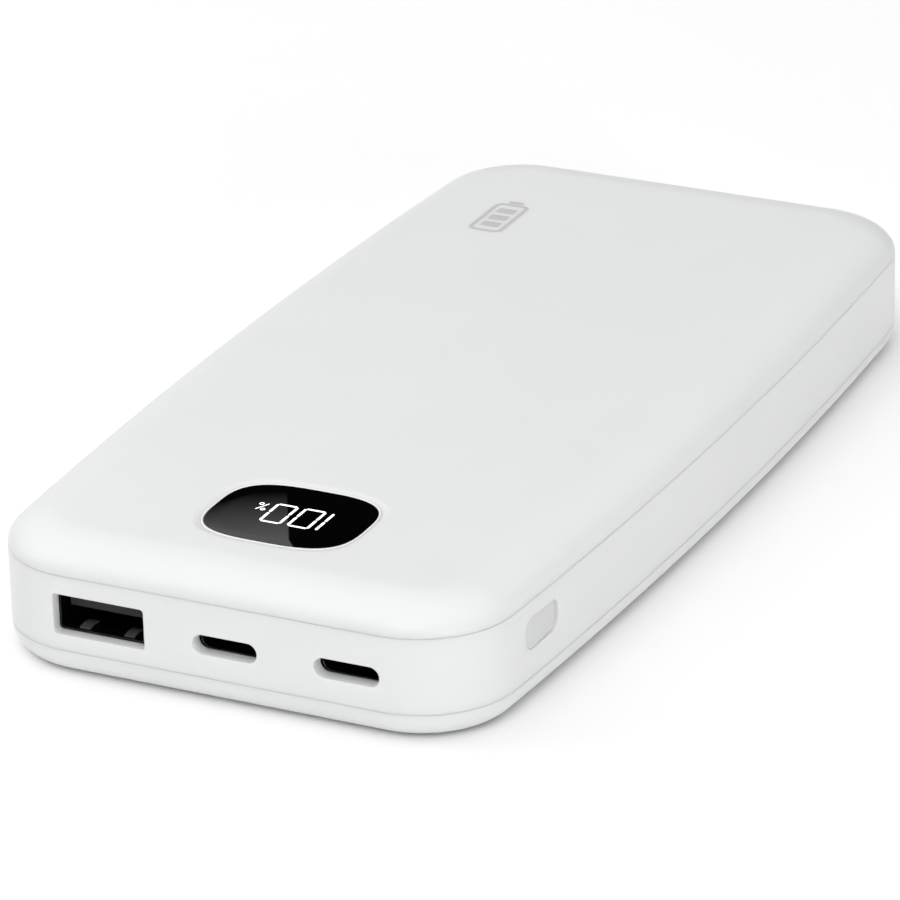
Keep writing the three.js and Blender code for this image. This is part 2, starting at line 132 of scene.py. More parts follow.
# What a moulded or painted finish has where its own settings don't say otherwise.
moulded = {
    "drift": 0.97,  # the darker colour, as a share of the lighter one
    "driftScale": 60,
    "grainScale": 5000,
    "grainHeight": 0.004 * mm,
    "glossSwing": 0.04,
    "glowThrough": 0.0,  # share of the light that passes through the surface
    "glowDepth": 1.5 * mm,
}
finishes = {
    "shellWhite": {"color": (0.80, 0.81, 0.807), "roughness": 0.42, "drift": 0.985, "glowThrough": 0.5},
    "buttonGrey": {"color": (0.69, 0.695, 0.695), "roughness": 0.45},
    "displayCase": {"color": (0.02, 0.02, 0.022), "roughness": 0.5},
    "blackPlastic": {"color": (0.006, 0.006, 0.0065), "roughness": 0.55},
    "ivoryPlastic": {"color": (0.62, 0.57, 0.42), "roughness": 0.45},
    "chipBlack": {"color": (0.018, 0.018, 0.02), "roughness": 0.55, "grainHeight": 0.01 * mm},
    "ferrite": {"color": (0.05, 0.052, 0.056), "roughness": 0.7, "grainHeight": 0.03 * mm},
    "foamBlack": {"color": (0.025, 0.025, 0.027), "roughness": 0.95, "grainHeight": 0.06 * mm,
                  "grainScale": 1800},
    "tapeBlue": {"color": (0.03, 0.10, 0.34), "roughness": 0.4},
    "redWire": {"color": (0.45, 0.015, 0.012), "roughness": 0.45},
    "blackWire": {"color": (0.012, 0.012, 0.013), "roughness": 0.45},
    "ceramicTan": {"color": (0.30, 0.22, 0.14), "roughness": 0.45},
    "springGrey": {"color": (0.09, 0.09, 0.092), "roughness": 0.35},
    # painted highlight: the near-white ring round the window stands in for light on the window's polished
    # bevel
    "paintedRimHighlight": {"color": (0.95, 0.95, 0.95), "roughness": 0.3},
    "markGrey": {"color": (0.56, 0.56, 0.56), "roughness": 0.5},
}


# Two close colours in a slow drift, and a fine grain in the gloss and the surface.
def mouldedFinish(name, settings):
    given = {**moulded, **settings}
    color, roughness, swing = given["color"], given["roughness"], given["glossSwing"]
    material = newMaterial(name, color, roughness)
    setShader(material, {
        "Subsurface Weight": given["glowThrough"], "Subsurface Radius": (1, 1, 1),
        "Subsurface Scale": given["glowDepth"],
    })
    darker = [channel * given["drift"] for channel in color]
    slow = grain(material, given["driftScale"], 2)
    tint(material, spread(material, slow, 0, 1), color, darker)
    fine = grain(material, given["grainScale"], 2)
    roughen(material, fine, roughness - swing, roughness + swing)
    emboss(material, fine, given["grainHeight"])
    return material


metals = {
    "socketSteel": {"color": (0.03, 0.03, 0.032), "roughness": 0.4},
    "switchSteel": {"color": (0.55, 0.55, 0.56), "roughness": 0.35},
    "goldContact": {"color": (0.62, 0.44, 0.16), "roughness": 0.28},
    "canAluminium": {"color": (0.72, 0.73, 0.74), "roughness": 0.3},
    "nickel": {"color": (0.60, 0.58, 0.54), "roughness": 0.32},
    "screwSteel": {"color": (0.42, 0.43, 0.45), "roughness": 0.32},
}
drawn = {
    "streakScale": 900,
    "stretch": (1, 0.06, 1),
    "drift": 0.85,
    "glossFrom": -0.06,
    "glossTo": 0.1,
    "streakHeight": 0.003 * mm,
}


# Drawn or rolled metal: streaks along Y in the gloss, and a slight change of tone.
def metalFinish(name, settings):
    color, roughness = settings["color"], settings["roughness"]
    material = newMaterial(name, color, roughness, 1.0)
    streaks = grain(material, drawn["streakScale"], 3, drawn["stretch"])
    darker = [channel * drawn["drift"] for channel in color]
    tint(material, spread(material, streaks, 0, 1), color, darker)
    roughen(material, streaks, roughness + drawn["glossFrom"], roughness + drawn["glossTo"])
    emboss(material, streaks, drawn["streakHeight"])
    return material


gloss = {
    "color": (0.0015, 0.0015, 0.0017),
    "ior": 1.49,
    "wipeScale": 260,
    "wipeStretch": (1, 0.3, 1),
    "roughness": (0.008, 0.016),
}


# Polished black acrylic: almost no colour, a hard clear gloss with faint wipe marks.
def windowFinish():
    material = newMaterial("smokedWindow", gloss["color"], gloss["roughness"][0])
    setShader(material, {"IOR": gloss["ior"]})
    wipes = grain(material, gloss["wipeScale"], 4, gloss["wipeStretch"])
    roughen(material, wipes, *gloss["roughness"])
    return material


lit = {
    "color": (0.8, 0.8, 0.8),
    "cellScale": 700,
    "glow": (0.85, 1.05),
}


# White figures lit from behind, not quite evenly.
def figureFinish():
    material = newMaterial("litFigure", lit["color"], 0.4)
    glow = spread(material, grain(material, lit["cellScale"], 1), *lit["glow"])
    setShader(material, {"Emission Color": (1, 1, 1, 1), "Emission Strength": glow})
    return material


foil = {
    "silver": (0.66, 0.68, 0.70),
    "shade": (0.55, 0.57, 0.59),
    "metallic": 0.85,
    "wrinkleScale": 120,
    "wrinkleStretch": (1, 0.4, 1),
    "wrinkleHeight": 0.25 * mm,
    "wrinkleStrength": 0.6,
    "roughness": (0.28, 0.42),
}


# Laminated pouch foil: satin silver with soft wrinkles.
def foilFinish():
    material = newMaterial("pouchFoil", foil["silver"], foil["roughness"][0], foil["metallic"])
    wrinkles = grain(material, foil["wrinkleScale"], 5, foil["wrinkleStretch"])
    tint(material, spread(material, wrinkles, 0, 1), foil["silver"], foil["shade"])
    roughen(material, grain(material, 1500, 2), *foil["roughness"])
    emboss(material, wrinkles, foil["wrinkleHeight"], foil["wrinkleStrength"])
    return material


board = {
    "mask": (0.012, 0.13, 0.055),
    "overCopper": (0.03, 0.20, 0.09),
    "trackScale": 420.0,
    "trackWidth": 0.012,
    "trackHeight": 0.03 * mm,
    "roughness": (0.26, 0.4),
}


# Solder mask over copper: green with slightly raised, lighter tracks.
def boardFinish():
    material = newMaterial("boardGreen", board["mask"], board["roughness"][0])
    tracks = put(material.node_tree, "ShaderNodeTexBrick", {
        "Vector": objectPoint(material.node_tree), "Scale": board["trackScale"],
        "Mortar Size": board["trackWidth"], "Brick Width": 0.9, "Row Height": 0.45,
        "Color1": (0, 0, 0, 1), "Color2": (0, 0, 0, 1), "Mortar": (1, 1, 1, 1),
    }).outputs["Color"]
    tint(material, tracks, board["mask"], board["overCopper"])
    roughen(material, grain(material, 900, 2), *board["roughness"])
    emboss(material, tracks, board["trackHeight"])
    return material


paints = {name: mouldedFinish(name, settings) for name, settings in finishes.items()}
paints.update({name: metalFinish(name, settings) for name, settings in metals.items()})
paints["smokedWindow"] = windowFinish()
paints["litFigure"] = figureFinish()
paints["pouchFoil"] = foilFinish()
paints["boardGreen"] = boardFinish()
print("materials ready:", len(paints))


def loop(mesh, points):
    return [mesh.verts.new(point) for point in points]


def cap(mesh, ring):
    mesh.faces.new(ring)


def bridge(mesh, lower, upper, skip=()):
    count = len(lower)
    for i in range(count):
        if i not in skip:
            j = (i + 1) % count
            mesh.faces.new((lower[i], lower[j], upper[j], upper[i]))


def bridgeAll(mesh, loops):
    for lower, upper in zip(loops, loops[1:]):
        bridge(mesh, lower, upper)


# Joins loops into a solid, closed over the first and the last.
def closeSolid(mesh, loops):
    bridgeAll(mesh, loops)
    cap(mesh, loops[0])
    cap(mesh, loops[-1])


# How many borders a line from a point towards +X crosses: odd inside the outer ring and outside the openings.
def crossings(flat, borders, x, y):
    count = 0
    for start, end in borders:
        (ax, ay), (bx, by) = flat[start], flat[end]
        if (ay > y) != (by > y):
            count += x < ax + (y - ay) * (bx - ax) / (by - ay)
    return count


# Fills the stretch between an outer ring and the rings of its openings, through any loose points in it.
def fillBetween(mesh, outer, openings, normal, loose=()):
    upright = Vector(normal)
    across = upright.orthogonal().normalized()
    along = upright.cross(across)
    points, borders = [], []
    for ring in [outer, *openings]:
        start, count = len(points), len(ring)
        points += ring
        borders += [(start + i, start + (i + 1) % count) for i in range(count)]
    points += loose
    flat = [Vector((point.co.dot(across), point.co.dot(along))) / mm for point in points]
    _, _, faces, sources, _, _ = delaunay_2d_cdt(flat, borders, [], 0, 1e-6)
    for face in faces:
        corners = [sources[i][0] for i in face]
        x, y = (sum(flat[i][k] for i in corners) / 3 for k in (0, 1))
        if crossings(flat, borders, x, y) % 2:
            mesh.faces.new([points[i] for i in corners])


leastRadius = 0.01 * mm


def roundedRect(width, height, radius, grow=0.0, steps=8):
    radius = max(radius + grow, leastRadius)
    x = width / 2 + grow - radius
    y = height / 2 + grow - radius
    points = []
    for corner, (cx, cy) in enumerate([(x, y), (-x, y), (-x, -y), (x, -y)]):
        for i in range(steps + 1):
            angle = math.pi / 2 * (corner + i / steps)
            points.append((cx + radius * math.cos(angle), cy + radius * math.sin(angle)))
    return points


def circle(centre, radius, z, steps=32):
    return [(centre[0] + radius * math.cos(2 * math.pi * i / steps),
             centre[1] + radius * math.sin(2 * math.pi * i / steps), z) for i in range(steps)]


def nodeSpan(name):
    low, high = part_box(name)
    return low, high, (low + high) / 2


def addObject(name, data):
    thing = bpy.data.objects.new(name, data)
    scene.collection.objects.link(thing)
    return thing


def meshData(mesh, name):
    data = bpy.data.meshes.new(name)
    mesh.to_mesh(data)
    mesh.free()
    return data


creaseAngle = math.radians(35)


def placePiece(data, name, material, replaced=(), rider="casing"):
    data.materials.clear()
    data.materials.append(material)
    data.polygons.foreach_set("use_smooth", [True] * len(data.polygons))
    data.set_sharp_from_angle(angle=creaseAngle)
    piece = addObject(name, data)
    weighted = piece.modifiers.new("evenShading", "WEIGHTED_NORMAL")
    weighted.mode = "FACE_AREA"
    weighted.keep_sharp = True
    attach(piece, rider)
    if replaced:
        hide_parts(*replaced)
    return piece


def finishPiece(mesh, name, material, replaced=(), rider="casing"):
    bmesh.ops.recalc_face_normals(mesh, faces=mesh.faces)
    return placePiece(meshData(mesh, name), name, material, replaced, rider)


shell = {
    "bow": 2.8 * mm,  # bulge of each long side
    "cornerRadius": 12.5 * mm,
    "sideSteps": 26,
    "cornerSteps": 18,
    "edgeSteps": 18,
    "innerEdgeSteps": 8,
    "seamSteps": 4,
    "wall": 1.6 * mm,
    "topEdge": 7.5 * mm,  # plan width of the upper rounded edge
    "bottomEdge": 3.8 * mm,
    "cadSeamGap": 0.2 * mm,
    "seamGap": 0.03 * mm,
    "seamRadius": 0.07 * mm,
    "lipInset": 1.9 * mm,
    "lipThickness": 1.0 * mm,
    "lipDrop": 1.5 * mm,
    "lipStep": 0.3 * mm,
    "topUnderLip": 0.1 * mm,
    "bottomUnderLip": 0.05 * mm,
    "printThickness": 0.01 * mm,
}
halfWidth = cadBox[1].x
halfLength = cadBox[1].y
topZ = cadBox[1].z - shell["printThickness"]
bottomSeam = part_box("middle_frame")[0].z - shell["cadSeamGap"] / 2
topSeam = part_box("middle_frame")[1].z + shell["cadSeamGap"] / 2
sideRadius = (halfLength**2 + shell["bow"] ** 2) / (2 * shell["bow"])
sideCentre = halfWidth - sideRadius
cornerY = halfLength - shell["cornerRadius"]
cornerX = sideCentre + math.sqrt((sideRadius - shell["cornerRadius"]) ** 2 - cornerY**2)
cornerStart = math.asin(cornerY / (sideRadius - shell["cornerRadius"]))


def sideX(y, inset):
    return sideCentre + math.sqrt((sideRadius - inset) ** 2 - y**2)


def outline(inset):
    quarter = []
    for i in range(shell["sideSteps"]):
        angle = cornerStart * i / shell["sideSteps"]
        reach = sideRadius - inset
        quarter.append((sideCentre + reach * math.cos(angle), reach * math.sin(angle)))
    for i in range(shell["cornerSteps"] + 1):
        angle = cornerStart + (math.pi / 2 - cornerStart) * i / shell["cornerSteps"]
        reach = shell["cornerRadius"] - inset
        quarter.append((cornerX + reach * math.cos(angle), cornerY + reach * math.sin(angle)))
    half = quarter + [(-x, y) for x, y in reversed(quarter[1:])]
    return half + [(-x, -y) for x, y in half]


def bodyRings(mesh, profile):
    return [loop(mesh, [(x, y, z) for x, y in outline(inset)]) for inset, z in profile]


# The angles of a quarter turn in equal steps.
def quarterTurn(steps):
    return [math.pi / 2 * i / steps for i in range(steps + 1)]


# A quarter ellipse from an upright wall to a flat face, as (inset, height) pairs.
def roundEdge(startInset, endInset, startZ, endZ, steps):
    points = []
    for angle in quarterTurn(steps):
        inset = startInset + (endInset - startInset) * (1 - math.cos(angle))
        points.append((inset, startZ + (endZ - startZ) * math.sin(angle)))
    return points


# The small rounding where a shell meets a seam: from the rim's flat to the upright wall.
def seamEdge(rimZ, side):
    radius = shell["seamRadius"]
    points = []
    for angle in quarterTurn(shell["seamSteps"]):
        points.append((radius * (1 - math.sin(angle)), rimZ + side * radius * (1 - math.cos(angle))))
    return points


# A cover's section as (inset, height) pairs: from its flat outside round the edge to the seam, over the
# lip and in to the flat inside. side is 1 for the top cover and -1 for the bottom one.
def coverSection(rim, side, edgeWidth, outerFlat, innerFlat, underLip):
    outer = seamEdge(rim, side)
    outer += roundEdge(0, edgeWidth, rim + side * shell["seamRadius"], outerFlat, shell["edgeSteps"])[1:]
    wall, lipOut = shell["wall"], shell["lipInset"]
    lipIn = lipOut + shell["lipThickness"]
    step, tip = rim + side * shell["lipStep"], rim - side * shell["lipDrop"]
    lip = [(wall, rim), (wall, step), (lipOut, step), (lipOut, tip), (lipIn, tip)]
    curve = roundEdge(wall, edgeWidth, rim, innerFlat, shell["innerEdgeSteps"])
    inner = [point for point in curve if point[0] > lipIn]
    return outer[::-1] + lip + [(lipIn, inner[0][1] - side * underLip)] + inner


window = {
    "power": 3.2,  # between an ellipse (2) and a rectangle
    "rimWidth": 0.27 * mm,  # near-white ring round the window, a painted highlight for its polished bevel
    "rimRise": 0.02 * mm,
    "rimStart": 0.01 * mm,
    "rimSoft": 0.06 * mm,
    "pocketGap": 0.3 * mm,
    "dishWidth": 1.0 * mm,
    "dishDepth": 0.2 * mm,
    "dishSteps": 8,
    "ledgeUnder": 0.25 * mm,
    "bevel": 0.12 * mm,
    "bevelRings": 5,
    "steps": 112,
    "lightHole": (15.4 * mm, 9.4 * mm, 0.8 * mm),
    "seatWidth": 1.5 * mm,
    "seatDrop": 1.1 * mm,
}
windowLow, windowHigh, windowMiddle = nodeSpan("display_window")
windowSize = windowHigh - windowLow


def softOval(grow):
    points = []
    for i in range(window["steps"]):
        angle = 2 * math.pi * i / window["steps"]
        bend = [math.copysign(abs(v) ** (2 / window["power"]), v)
                for v in (math.cos(angle), math.sin(angle))]
        points.append((windowMiddle.x + (windowSize.x / 2 + grow) * bend[0],
                       windowMiddle.y + (windowSize.y / 2 + grow) * bend[1]))
    return points


def ovalLoop(mesh, grow, z):
    return loop(mesh, [(x, y, z) for x, y in softOval(grow)])


# A near-white ring between the window and the cover: a painted highlight that stands in for the light caught
# by the window's polished bevel.
def makeRimHighlight():
    mesh = bmesh.new()
    low, high = windowLow.z, windowHigh.z + window["rimRise"]
    near, far, soft = window["rimStart"], window["rimWidth"], window["rimSoft"]
    steps = [(near, low), (near, high - soft), (near + soft, high), (far - soft, high), (far, high - soft),
             (far, low)]
    loops = [ovalLoop(mesh, grow, z) for grow, z in steps]
    bridgeAll(mesh, loops + loops[:1])
    return finishPiece(mesh, "windowRim", paints["paintedRimHighlight"])


def shiftedRect(width, length, radius, z, middle, grow=0.0, steps=8):
    return [(middle.x + x, middle.y + y, z) for x, y in roundedRect(width, length, radius, grow, steps)]


def makeTopCover():
    mesh = bmesh.new()
    rim = topSeam + shell["seamGap"] / 2
    ceiling = cadBox[1].z - shell["wall"]
    section = coverSection(rim, 1, shell["topEdge"], topZ, ceiling, shell["topUnderLip"])
    rings = bodyRings(mesh, section)
    bridgeAll(mesh, rings)

    # the dish round the window, the pocket wall and the ledge that the window lies on
    gap = window["pocketGap"]
    dish = []
    for i in range(window["dishSteps"] + 1):
        share = i / window["dishSteps"]
        drop = window["dishDepth"] * (1 - math.cos(math.pi * share)) / 2
        dish.append((gap + window["dishWidth"] * (1 - share), topZ - drop))
    ledge = windowLow.z - window["ledgeUnder"]
    loops = [ovalLoop(mesh, grow, z) for grow, z in dish + [(gap, ledge)]]
    bridgeAll(mesh, loops)
    hole = window["lightHole"]
    under = ceiling - window["seatDrop"]
    holeTop = loop(mesh, shiftedRect(*hole, ledge, windowMiddle))
    holeLow = loop(mesh, shiftedRect(*hole, under, windowMiddle))
    seatLow = ovalLoop(mesh, window["seatWidth"], under)
    seatHigh = ovalLoop(mesh, window["seatWidth"], ceiling)
    bridge(mesh, holeTop, holeLow)
    bridge(mesh, seatLow, seatHigh)
    fillBetween(mesh, rings[0], [loops[0]], (0, 0, 1))
    fillBetween(mesh, loops[-1], [holeTop], (0, 0, 1))
    fillBetween(mesh, seatLow, [holeLow], (0, 0, -1))
    fillBetween(mesh, rings[-1], [seatHigh], (0, 0, -1))
    return finishPiece(mesh, "topCover", paints["shellWhite"], ["top_cover"])


bottom = {
    "bossRadius": 2.2 * mm,
    "bossFoot": 0.3 * mm,
    "bossEdge": 0.15 * mm,
    "boardGap": 0.1 * mm,
    "pilotRadius": 0.95 * mm,
    "pilotFloor": 0.6 * mm,
    "rib": (0.8 * mm, 60 * mm, 0.3 * mm),
    "ribGap": 0.6 * mm,
    "ribY": 8 * mm,
    "ribTop": 5 * mm,
}
screwNodes = [f"board_screw_{i}" for i in range(1, 5)]
screwPlaces = [nodeSpan(name)[2] for name in screwNodes]


def makeBottomCover():
    mesh = bmesh.new()
    rim = bottomSeam - shell["seamGap"] / 2
    floor = shell["wall"]
    section = coverSection(rim, -1, shell["bottomEdge"], 0, floor, shell["bottomUnderLip"])
    rings = bodyRings(mesh, section)
    bridgeAll(mesh, rings)
    fillBetween(mesh, rings[0], [], (0, 0, -1))

    boss, pilot = bottom["bossRadius"], bottom["pilotRadius"]
    foot, edge = bottom["bossFoot"], bottom["bossEdge"]
    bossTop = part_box("main_board")[0].z - bottom["boardGap"]
    openings = []
    for place in screwPlaces:
        steps = [(boss + foot, floor), (boss, floor + foot), (boss, bossTop - edge), (boss - edge, bossTop),
                 (pilot, bossTop), (pilot, floor + bottom["pilotFloor"])]
        loops = [loop(mesh, circle(place, radius, z)) for radius, z in steps]
        bridgeAll(mesh, loops)
        cap(mesh, loops[-1])
        openings.append(loops[0])
    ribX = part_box("lower_cell")[1].x + bottom["ribGap"] + bottom["rib"][0] / 2
    for x in (ribX, -ribX):
        middle = Vector((x, bottom["ribY"], 0))
        loops = [loop(mesh, shiftedRect(*bottom["rib"], z, middle, 0, 3)) for z in (floor, bottom["ribTop"])]
        bridgeAll(mesh, loops)
        cap(mesh, loops[-1])
        openings.append(loops[0])
    fillBetween(mesh, rings[-1], openings, (0, 0, 1))
    return finishPiece(mesh, "bottomCover", paints["shellWhite"], ["bottom_cover"])


nearlyRound = 0.02 * mm  # a round end's radius is this much under half the height
mouths = {
    "edgeRadius": 0.1 * mm,
    "usbA": {"node": "usb_a_shell", "size": (12.8 * mm, 5.42 * mm), "corner": 0.45 * mm, "collar": 0.0},
    "usbCMiddle": {"node": "usb_c_middle_shell", "size": (8.9 * mm, 2.66 * mm), "collar": 0.35 * mm},
    "usbCRight": {"node": "usb_c_right_shell", "size": (8.9 * mm, 2.66 * mm), "collar": 0.35 * mm},
    "collarMargin": 0.9 * mm,
    "slotGap": 0.03 * mm,
    "slotEdge": 0.06 * mm,
    "clearance": 0.3 * mm,
    "edgeSteps": 4,
    "patchReach": 26 * mm,
    "patchRows": (0.2, 0.4, 0.6, 0.8),
}
button = {
    "length": 8.4 * mm,
    "height": 4.2 * mm,
    "corner": 1.6 * mm,
    "edge": 0.1 * mm,
    "dome": 0.03 * mm,
    "patchReach": 7.8 * mm,
    "edgeSteps": 5,
    "domeInsets": (0.35 * mm, 0.7 * mm, 1.0 * mm, 1.4 * mm, 1.8 * mm),
    "domeReach": 1.9 * mm,
    "flange": (12.0 * mm, 5.6 * mm, 0.5 * mm),
    "flangeBack": 0.5 * mm,
    "flangeFront": 1.3 * mm,
    "nub": (2.4 * mm, 2.0 * mm, 0.2 * mm),
}
buttonLow, buttonHigh, buttonMiddle = nodeSpan("power_button")


# Loops of one opening from the outer face to the inner one: rounded at the mouth, then straight, then
# out again round its collar where it has one.
def openingLoops(mesh, shape, place, edge, collar):
    steps = [(edge * (1 - math.sin(angle)), edge * (1 - math.cos(angle)))
             for angle in quarterTurn(mouths["edgeSteps"])]
    back, margin = shell["wall"] + collar, mouths["collarMargin"]
    steps.append((0, back))
    if collar:
        steps += [(margin, back), (margin, shell["wall"])]
    loops = [loop(mesh, [place(u, v, depth) for u, v in shape(grow)]) for grow, depth in steps]
    bridgeAll(mesh, loops)
    return loops


def mouthShape(settings):
    middle = nodeSpan(settings["node"])[2]
    width, height = settings["size"]
    corner = settings.get("corner", height / 2 - nearlyRound)
    return lambda grow: [(middle.x + u, middle.z + v)
                         for u, v in roundedRect(width, height, corner, grow)]


def slotShape(grow):
    gap = mouths["slotGap"]
    return [(buttonMiddle.y + u, buttonMiddle.z + v) for u, v in
            roundedRect(button["length"], button["height"], button["corner"], gap + grow)]


def frontPlace(u, v, depth):
    reach = shell["cornerRadius"] - depth
    return (u, -cornerY - math.sqrt(reach**2 - max(0, abs(u) - cornerX) ** 2), v)


def sidePlace(u, v, depth):
    return (sideX(u, depth), u, v)


# True where a point of a patch keeps well clear of an opening.
def outsideOf(ring, u, v, axis):
    us = [point.co[axis] for point in ring]
    vs = [point.co.z for point in ring]
    clear = mouths["clearance"]
    return not (min(us) - clear < u < max(us) + clear and min(vs) - clear < v < max(vs) + clear)


# Two stretches of the wall are patches filled round their openings: the front one with the mouths of the
# sockets, and the one on the right with the button's slot. axis is the direction that a patch runs along.
def framePatches():
    columns = outline(0)
    front = [i for i, (x, y) in enumerate(columns) if y < 0 and abs(x) < mouths["patchReach"]]
    right = [i for i, (x, y) in enumerate(columns)
             if x > 0 and abs(y - buttonMiddle.y) < button["patchReach"]]
    frontMouths = [mouths[name] for name in ("usbA", "usbCMiddle", "usbCRight")]
    frontShapes = [(mouthShape(mouth), mouth["collar"]) for mouth in frontMouths]
    return [
        {"columns": range(front[0], front[-1] + 1), "place": frontPlace, "shapes": frontShapes,
         "edge": mouths["edgeRadius"], "facing": Vector((0, -1, 0)), "axis": 0},
        {"columns": range(right[0], right[-1] + 1), "place": sidePlace, "shapes": [(slotShape, 0)],
         "edge": mouths["slotEdge"], "facing": Vector((1, 0, 0)), "axis": 1},
    ]


# Points spread over a patch, clear of its openings, so that its facets follow the curve of the wall.
def patchPoints(mesh, patch, border, openings, low, high, depth):
    points = []
    axis = patch["axis"]
    for i in patch["columns"][1:-1]:
        for share in mouths["patchRows"]:
            u, v = border[i].co[axis], low + (high - low) * share
            if all(outsideOf(ring, u, v, axis) for ring in openings):
                points += loop(mesh, [patch["place"](u, v, depth)])
    return points


def makeMiddleFrame():
    mesh = bmesh.new()
    wall = shell["wall"]
    low = bottomSeam + shell["seamGap"] / 2
    high = topSeam - shell["seamGap"] / 2
    profile = seamEdge(low, 1) + seamEdge(high, -1)[::-1] + [(wall, high), (wall, low)]
    rings = bodyRings(mesh, profile)
    outerLow, outerHigh = rings[shell["seamSteps"]], rings[shell["seamSteps"] + 1]
    innerHigh, innerLow = rings[-2], rings[-1]

    patched = set()
    for patch in framePatches():
        columns = patch["columns"]
        patched.update(columns[:-1])
        loops = [openingLoops(mesh, shape, patch["place"], patch["edge"], collar)
                 for shape, collar in patch["shapes"]]
        sides = [(outerLow, outerHigh, 0, patch["facing"], [rounds[0] for rounds in loops]),
                 (innerLow, innerHigh, wall, -patch["facing"], [rounds[-1] for rounds in loops])]
        for lower, upper, depth, facing, openings in sides:
            around = [lower[i] for i in columns] + [upper[i] for i in reversed(columns)]
            loose = patchPoints(mesh, patch, lower, openings, low, high, depth)
            fillBetween(mesh, around, openings, facing, loose)
    for k, lower in enumerate(rings):
        isWall = lower is outerLow or lower is innerHigh
        bridge(mesh, lower, rings[(k + 1) % len(rings)], patched if isWall else ())
    return finishPiece(mesh, "middleFrame", paints["shellWhite"], ["middle_frame"])


makeTopCover()
makeMiddleFrame()
makeBottomCover()
print("casing shells built")


def makeButton():
    mesh = bmesh.new()
    face = buttonHigh.x
    flangeBack = buttonLow.x + button["flangeBack"]
    flangeFront = buttonLow.x + button["flangeFront"]
    capSize = (button["length"], button["height"], button["corner"])

    def ring(size, grow, x):
        return loop(mesh, [(x, buttonMiddle.y + u, buttonMiddle.z + v)
                           for u, v in roundedRect(*size, grow, 10)])

    loops = [ring(button["nub"], 0, buttonLow.x), ring(button["nub"], 0, flangeBack),
             ring(button["flange"], 0, flangeBack), ring(button["flange"], 0, flangeFront),
             ring(capSize, 0, flangeFront)]
    edge = button["edge"]
    for angle in quarterTurn(button["edgeSteps"]):
        x = face - button["dome"] - edge * (1 - math.sin(angle))
        loops.append(ring(capSize, -edge * (1 - math.cos(angle)), x))
    for inset in button["domeInsets"]:
        sink = button["dome"] * (1 - inset / button["domeReach"]) ** 2
        loops.append(ring(capSize, -edge - inset, face - sink))
    closeSolid(mesh, loops)
    return finishPiece(mesh, "powerButton", paints["buttonGrey"], ["power_button"], "button")


makeButton()


def newTree(name, inputs):
    tree = bpy.data.node_groups.new(name, "GeometryNodeTree")
    tree.interface.new_socket("Geometry", in_out="INPUT", socket_type="NodeSocketGeometry")
    for label, (kind, value) in inputs.items():
        socket = tree.interface.new_socket(label, in_out="INPUT", socket_type="NodeSocket" + kind)
        if value is not None:
            socket.default_value = value
    tree.interface.new_socket("Geometry", in_out="OUTPUT", socket_type="NodeSocketGeometry")
    return tree, tree.nodes.new("NodeGroupInput").outputs


def calc(tree, operation, first, second=0.0):
    node = put(tree, "ShaderNodeMath", {0: first, 1: second}, operation=operation)
    return node.outputs[0]


def combine(tree, x=0.0, y=0.0, z=0.0):
    return put(tree, "ShaderNodeCombineXYZ", {"X": x, "Y": y, "Z": z}).outputs[0]


# Every tree ends the same way: plain geometry with its material.
def endTree(tree, geometry, material):
    realized = put(tree, "GeometryNodeRealizeInstances", {"Geometry": geometry})
    painted = put(tree, "GeometryNodeSetMaterial", {
        "Geometry": realized.outputs[0], "Material": material,
    })
    put(tree, "NodeGroupOutput", {"Geometry": painted.outputs[0]})


# Runs a tree on a base mesh and returns the result as a plain mesh.
def runTree(tree, base, values):
    carrier = addObject("carrier", base)
    modifier = carrier.modifiers.new("build", "NODES")
    modifier.node_group = tree
    for item in tree.interface.items_tree:
        if item.in_out == "INPUT" and item.name in values:
            modifier[item.identifier] = values[item.name]
    evaluated = carrier.evaluated_get(bpy.context.evaluated_depsgraph_get())
    data = bpy.data.meshes.new_from_object(evaluated)
    carrier.modifiers.remove(modifier)
    bpy.data.objects.remove(carrier)
    return data


def pointMesh(points):
    data = bpy.data.meshes.new("points")
    data.from_pydata([tuple(point) for point in points], [], [])
    return data


